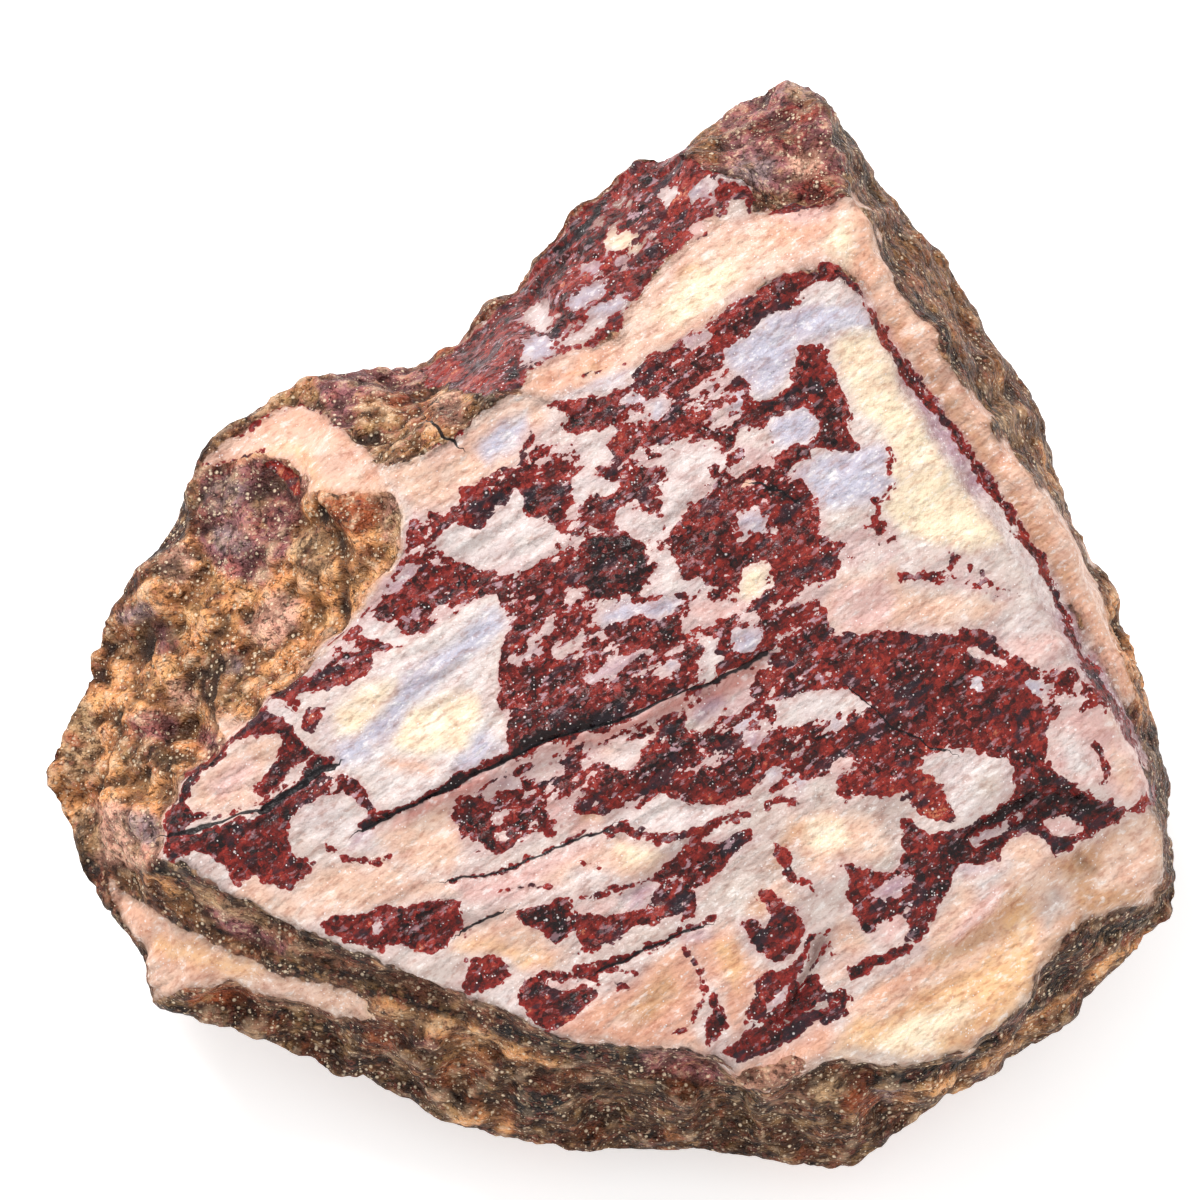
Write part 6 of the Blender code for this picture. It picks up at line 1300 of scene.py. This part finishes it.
grit = noise_of(scaled(in_mm, (1, 1, 1.4)), scale=2.2, detail=2, rough=0.7)
creases = seams_of(scaled(in_mm, (0.8, 0.8, 1.7)), scale=0.9, width=0.07)
crust_colour = glazed(ground_colour, RUSTY_CRUMB, crumbs, start=0.5, full=0.66, strength=0.3)
crust_colour = glazed(crust_colour, SANDY_CRUMB, crumbs, start=0.46, full=0.34, strength=0.4)
crust_colour = glazed(crust_colour, LAYER_BROWN, layers, 0.5, 0.4, strength=0.6, kind="MULTIPLY")
fibre_strength = total(product(flat_share, 0.4), 0.55)
crust_colour = glazed(crust_colour, FIBRE_SHADE, fibres, 0.5, 0.38, fibre_strength, "MULTIPLY")
crust_colour = glazed(crust_colour, FIBRE_TAN, fibres, start=0.56, full=0.72, strength=0.55)
crust_colour = glazed(crust_colour, ROSY_GRAIN, luck_two, start=0.78, full=0.95, strength=0.35)
# The crust darkened: the dark of its grit, and painted shade in the creases and at the borders of the
# lumps.
darkest = blended(1.0, crust_colour, CREASE_SHADE, "MULTIPLY")
crust_colour = glazed(crust_colour, darkest, grit, start=0.46, full=0.34, strength=0.85)
crust_colour = glazed(crust_colour, PALE_GRIT, grit, start=0.57, full=0.68, strength=0.5)
# Thin dark creases: painted shade.
crust_colour = blended(product(creases, flat_share), crust_colour, darkest)
crust_colour = blended(flat_share, crust_colour, WALL_SHADE, "MULTIPLY")
# Darker at the borders of the lumps and lighter in their middles: painted shade between them and painted
# light on their tops.
crust_colour = glazed(crust_colour, darkest, lump_edge, 0.4, 0.72, product(lump_share, 0.8))
crust_colour = glazed(crust_colour, LUMP_TOP_LIGHT, lump_edge, 0.36, 0.12, product(lump_share, 0.42))
# Darker in the crust's hollows and lighter on its raised parts: painted shade and painted light.
crust_colour = glazed(crust_colour, HOLLOW_SHADE, sunk_depth, start=0.1, full=1.0)
crust_colour = glazed(crust_colour, RAISED_LIGHT, sunk_depth, start=-0.35, full=-0.8, strength=0.3)
# White dots on some crust grains, more of them on the lumps: painted highlights.
crust_small_highlight = product(stepped(spark_luck, 0.84, 0.87), stepped(spark_edge, 0.42, 0.2))
crust_grain_highlight = product(stepped(luck, 0.74, 0.8), stepped(grain_edge, 0.46, 0.16))
crust_highlight_patches = reckon("ADD", highlight_patches, product(lump_share, 0.6), clamp=True)
crust_painted_highlight = product(reckon("MAXIMUM", crust_small_highlight, crust_grain_highlight), crust_highlight_patches)
crust_colour = blended(product(crust_painted_highlight, PAINTED_HIGHLIGHT_STRENGTH), crust_colour, CRUST_PAINTED_HIGHLIGHT)

# The whole surface: break, crust and the painted shade, near black, in the cracks
CRACK_SHADE = (18, 14, 18)
crust_edge = stepped(total(crust_share, centred(speckle, 0.5)), 0.44, 0.56)
surface = blended(crust_edge, fresh_colour, crust_colour)
# The middle of each crack is painted near black: painted shade in the crack.
slit_away = reckon("SUBTRACT", reckon("ABSOLUTE", kept("slit")), kept("slit_width"))
slit_away = total(slit_away, centred(speckle, 0.16))
crack_shade_share = product(stepped(slit_away, 0.05, -0.03), kept("slit_near"))
surface = blended(product(crack_shade_share, 0.96), surface, CRACK_SHADE)
feed(surface, shader.inputs["Base Color"])
gloss = total(product(luck, 0.3), 0.26, product(crust_edge, 0.12))
feed(gloss, shader.inputs["Roughness"])
shader.inputs["Specular IOR Level"].default_value = 0.22

# Fine grain: ridges on the break and strands on the crust, in millimetres
ridges = noise_of(scaled(lie, (0.35, 1.1, 0.9)), scale=1.0, detail=2, rough=0.6)
rough_grain = noise_of(in_mm, scale=2.2, detail=2, rough=0.7)
strands = noise_of(scaled(in_mm, (0.6, 0.6, 1.5)), scale=1.3, detail=3, rough=0.75)
break_height = total(product(ridges, 0.38), product(rough_grain, 0.14))
crust_height = total(product(strands, 0.75), product(rough_grain, 0.25))
bump = node("ShaderNodeBump")
bump.inputs["Strength"].default_value = 1.0
bump.inputs["Distance"].default_value = MM
feed(total(break_height, product(crust_height, crust_share)), bump.inputs["Height"])

# Each grain's face is tilted its own way, so that some catch the light
tilt = node("ShaderNodeVectorMath", operation="SUBTRACT")
feed(grain_face, tilt.inputs[0])
tilt.inputs[1].default_value = (0.5, 0.5, 0.5)
roughly = reckon("MAXIMUM", crust_edge, stepped(edge, -0.2, 0.1))
tilted = node("ShaderNodeVectorMath", operation="MULTIPLY_ADD")
feed(tilt.outputs[0], tilted.inputs[0])
feed(total(product(roughly, 0.3), 0.24), tilted.inputs[1])
feed(bump.outputs["Normal"], tilted.inputs[2])
straight = node("ShaderNodeVectorMath", operation="NORMALIZE")
feed(tilted.outputs[0], straight.inputs[0])
feed(straight.outputs[0], shader.inputs["Normal"])

stone_mesh.materials.clear()
stone_mesh.materials.append(jasper)
stone_surface = bpy.data.objects.new("stone_surface", stone_mesh)
bpy.context.scene.collection.objects.link(stone_surface)
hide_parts("stone")
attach(stone_surface, "root")

# Table
# A wide sheet of matt white paper, flat on a table and glowing a little so that it stays white. The
# stone lies loose on it.
SHEET_REACH = 3
PAPER_WHITE = (0.9, 0.9, 0.9, 1)
PAPER_ROUGHNESS = 0.9
PAPER_GLOW = 0.45
WHITE = (1, 1, 1, 1)
table_mesh = bpy.data.meshes.new("table")
table_shape = bmesh.new()
bmesh.ops.create_grid(table_shape, x_segments=1, y_segments=1, size=SHEET_REACH)
table_shape.to_mesh(table_mesh)
table_shape.free()
table = bpy.data.objects.new("table", table_mesh)
bpy.context.scene.collection.objects.link(table)
paper = bpy.data.materials.new("paper")
paper.use_nodes = True
paper_shader = paper.node_tree.nodes["Principled BSDF"]
paper_shader.inputs["Base Color"].default_value = PAPER_WHITE
paper_shader.inputs["Roughness"].default_value = PAPER_ROUGHNESS
paper_shader.inputs["Emission Color"].default_value = WHITE
paper_shader.inputs["Emission Strength"].default_value = PAPER_GLOW
table_mesh.materials.append(paper)

# Lamps and camera
# A white room with a small bright soft box at the left and a wide dim one at the right, and a camera
# with a long lens that looks straight at the break from above.
ROOM_LIGHT = 0.78
LAMP_AIM = Vector((0, 0, 0.015))
LONG_LENS = 200
FILM_WIDTH = 36
NEAREST_SEEN = 0.01
room = bpy.data.worlds.new("room")
room.use_nodes = True
room.node_tree.nodes["Background"].inputs["Color"].default_value = WHITE
room.node_tree.nodes["Background"].inputs["Strength"].default_value = ROOM_LIGHT
bpy.context.scene.world = room


def soft_box(name, place, size, power):
    """A square lamp of that size in metres and that power in watts, aimed at the stone."""
    lamp = bpy.data.lights.new(name, "AREA")
    lamp.size = size
    lamp.energy = power
    holder = bpy.data.objects.new(name, lamp)
    bpy.context.scene.collection.objects.link(holder)
    holder.location = place
    holder.rotation_euler = (LAMP_AIM - Vector(place)).to_track_quat("-Z", "Y").to_euler()


soft_box("key", place=(-0.22, 0.3, 0.48), size=0.22, power=2.7)
soft_box("fill", place=(0.35, -0.4, 0.4), size=0.5, power=0.4)

eye = bpy.data.cameras.new("eye")
eye.lens = LONG_LENS
eye.sensor_width = FILM_WIDTH
eye.clip_start = NEAREST_SEEN
camera = bpy.data.objects.new("eye", eye)
bpy.context.scene.collection.objects.link(camera)
camera.location = (VIEW_CENTRE + EYE_DISTANCE * OUT_OF_BREAK) * MM
camera.rotation_euler = (-OUT_OF_BREAK).to_track_quat("-Z", "Y").to_euler()
bpy.context.scene.camera = camera
bpy.context.scene.view_settings.view_transform = "Standard"

bpy.context.view_layer.update()
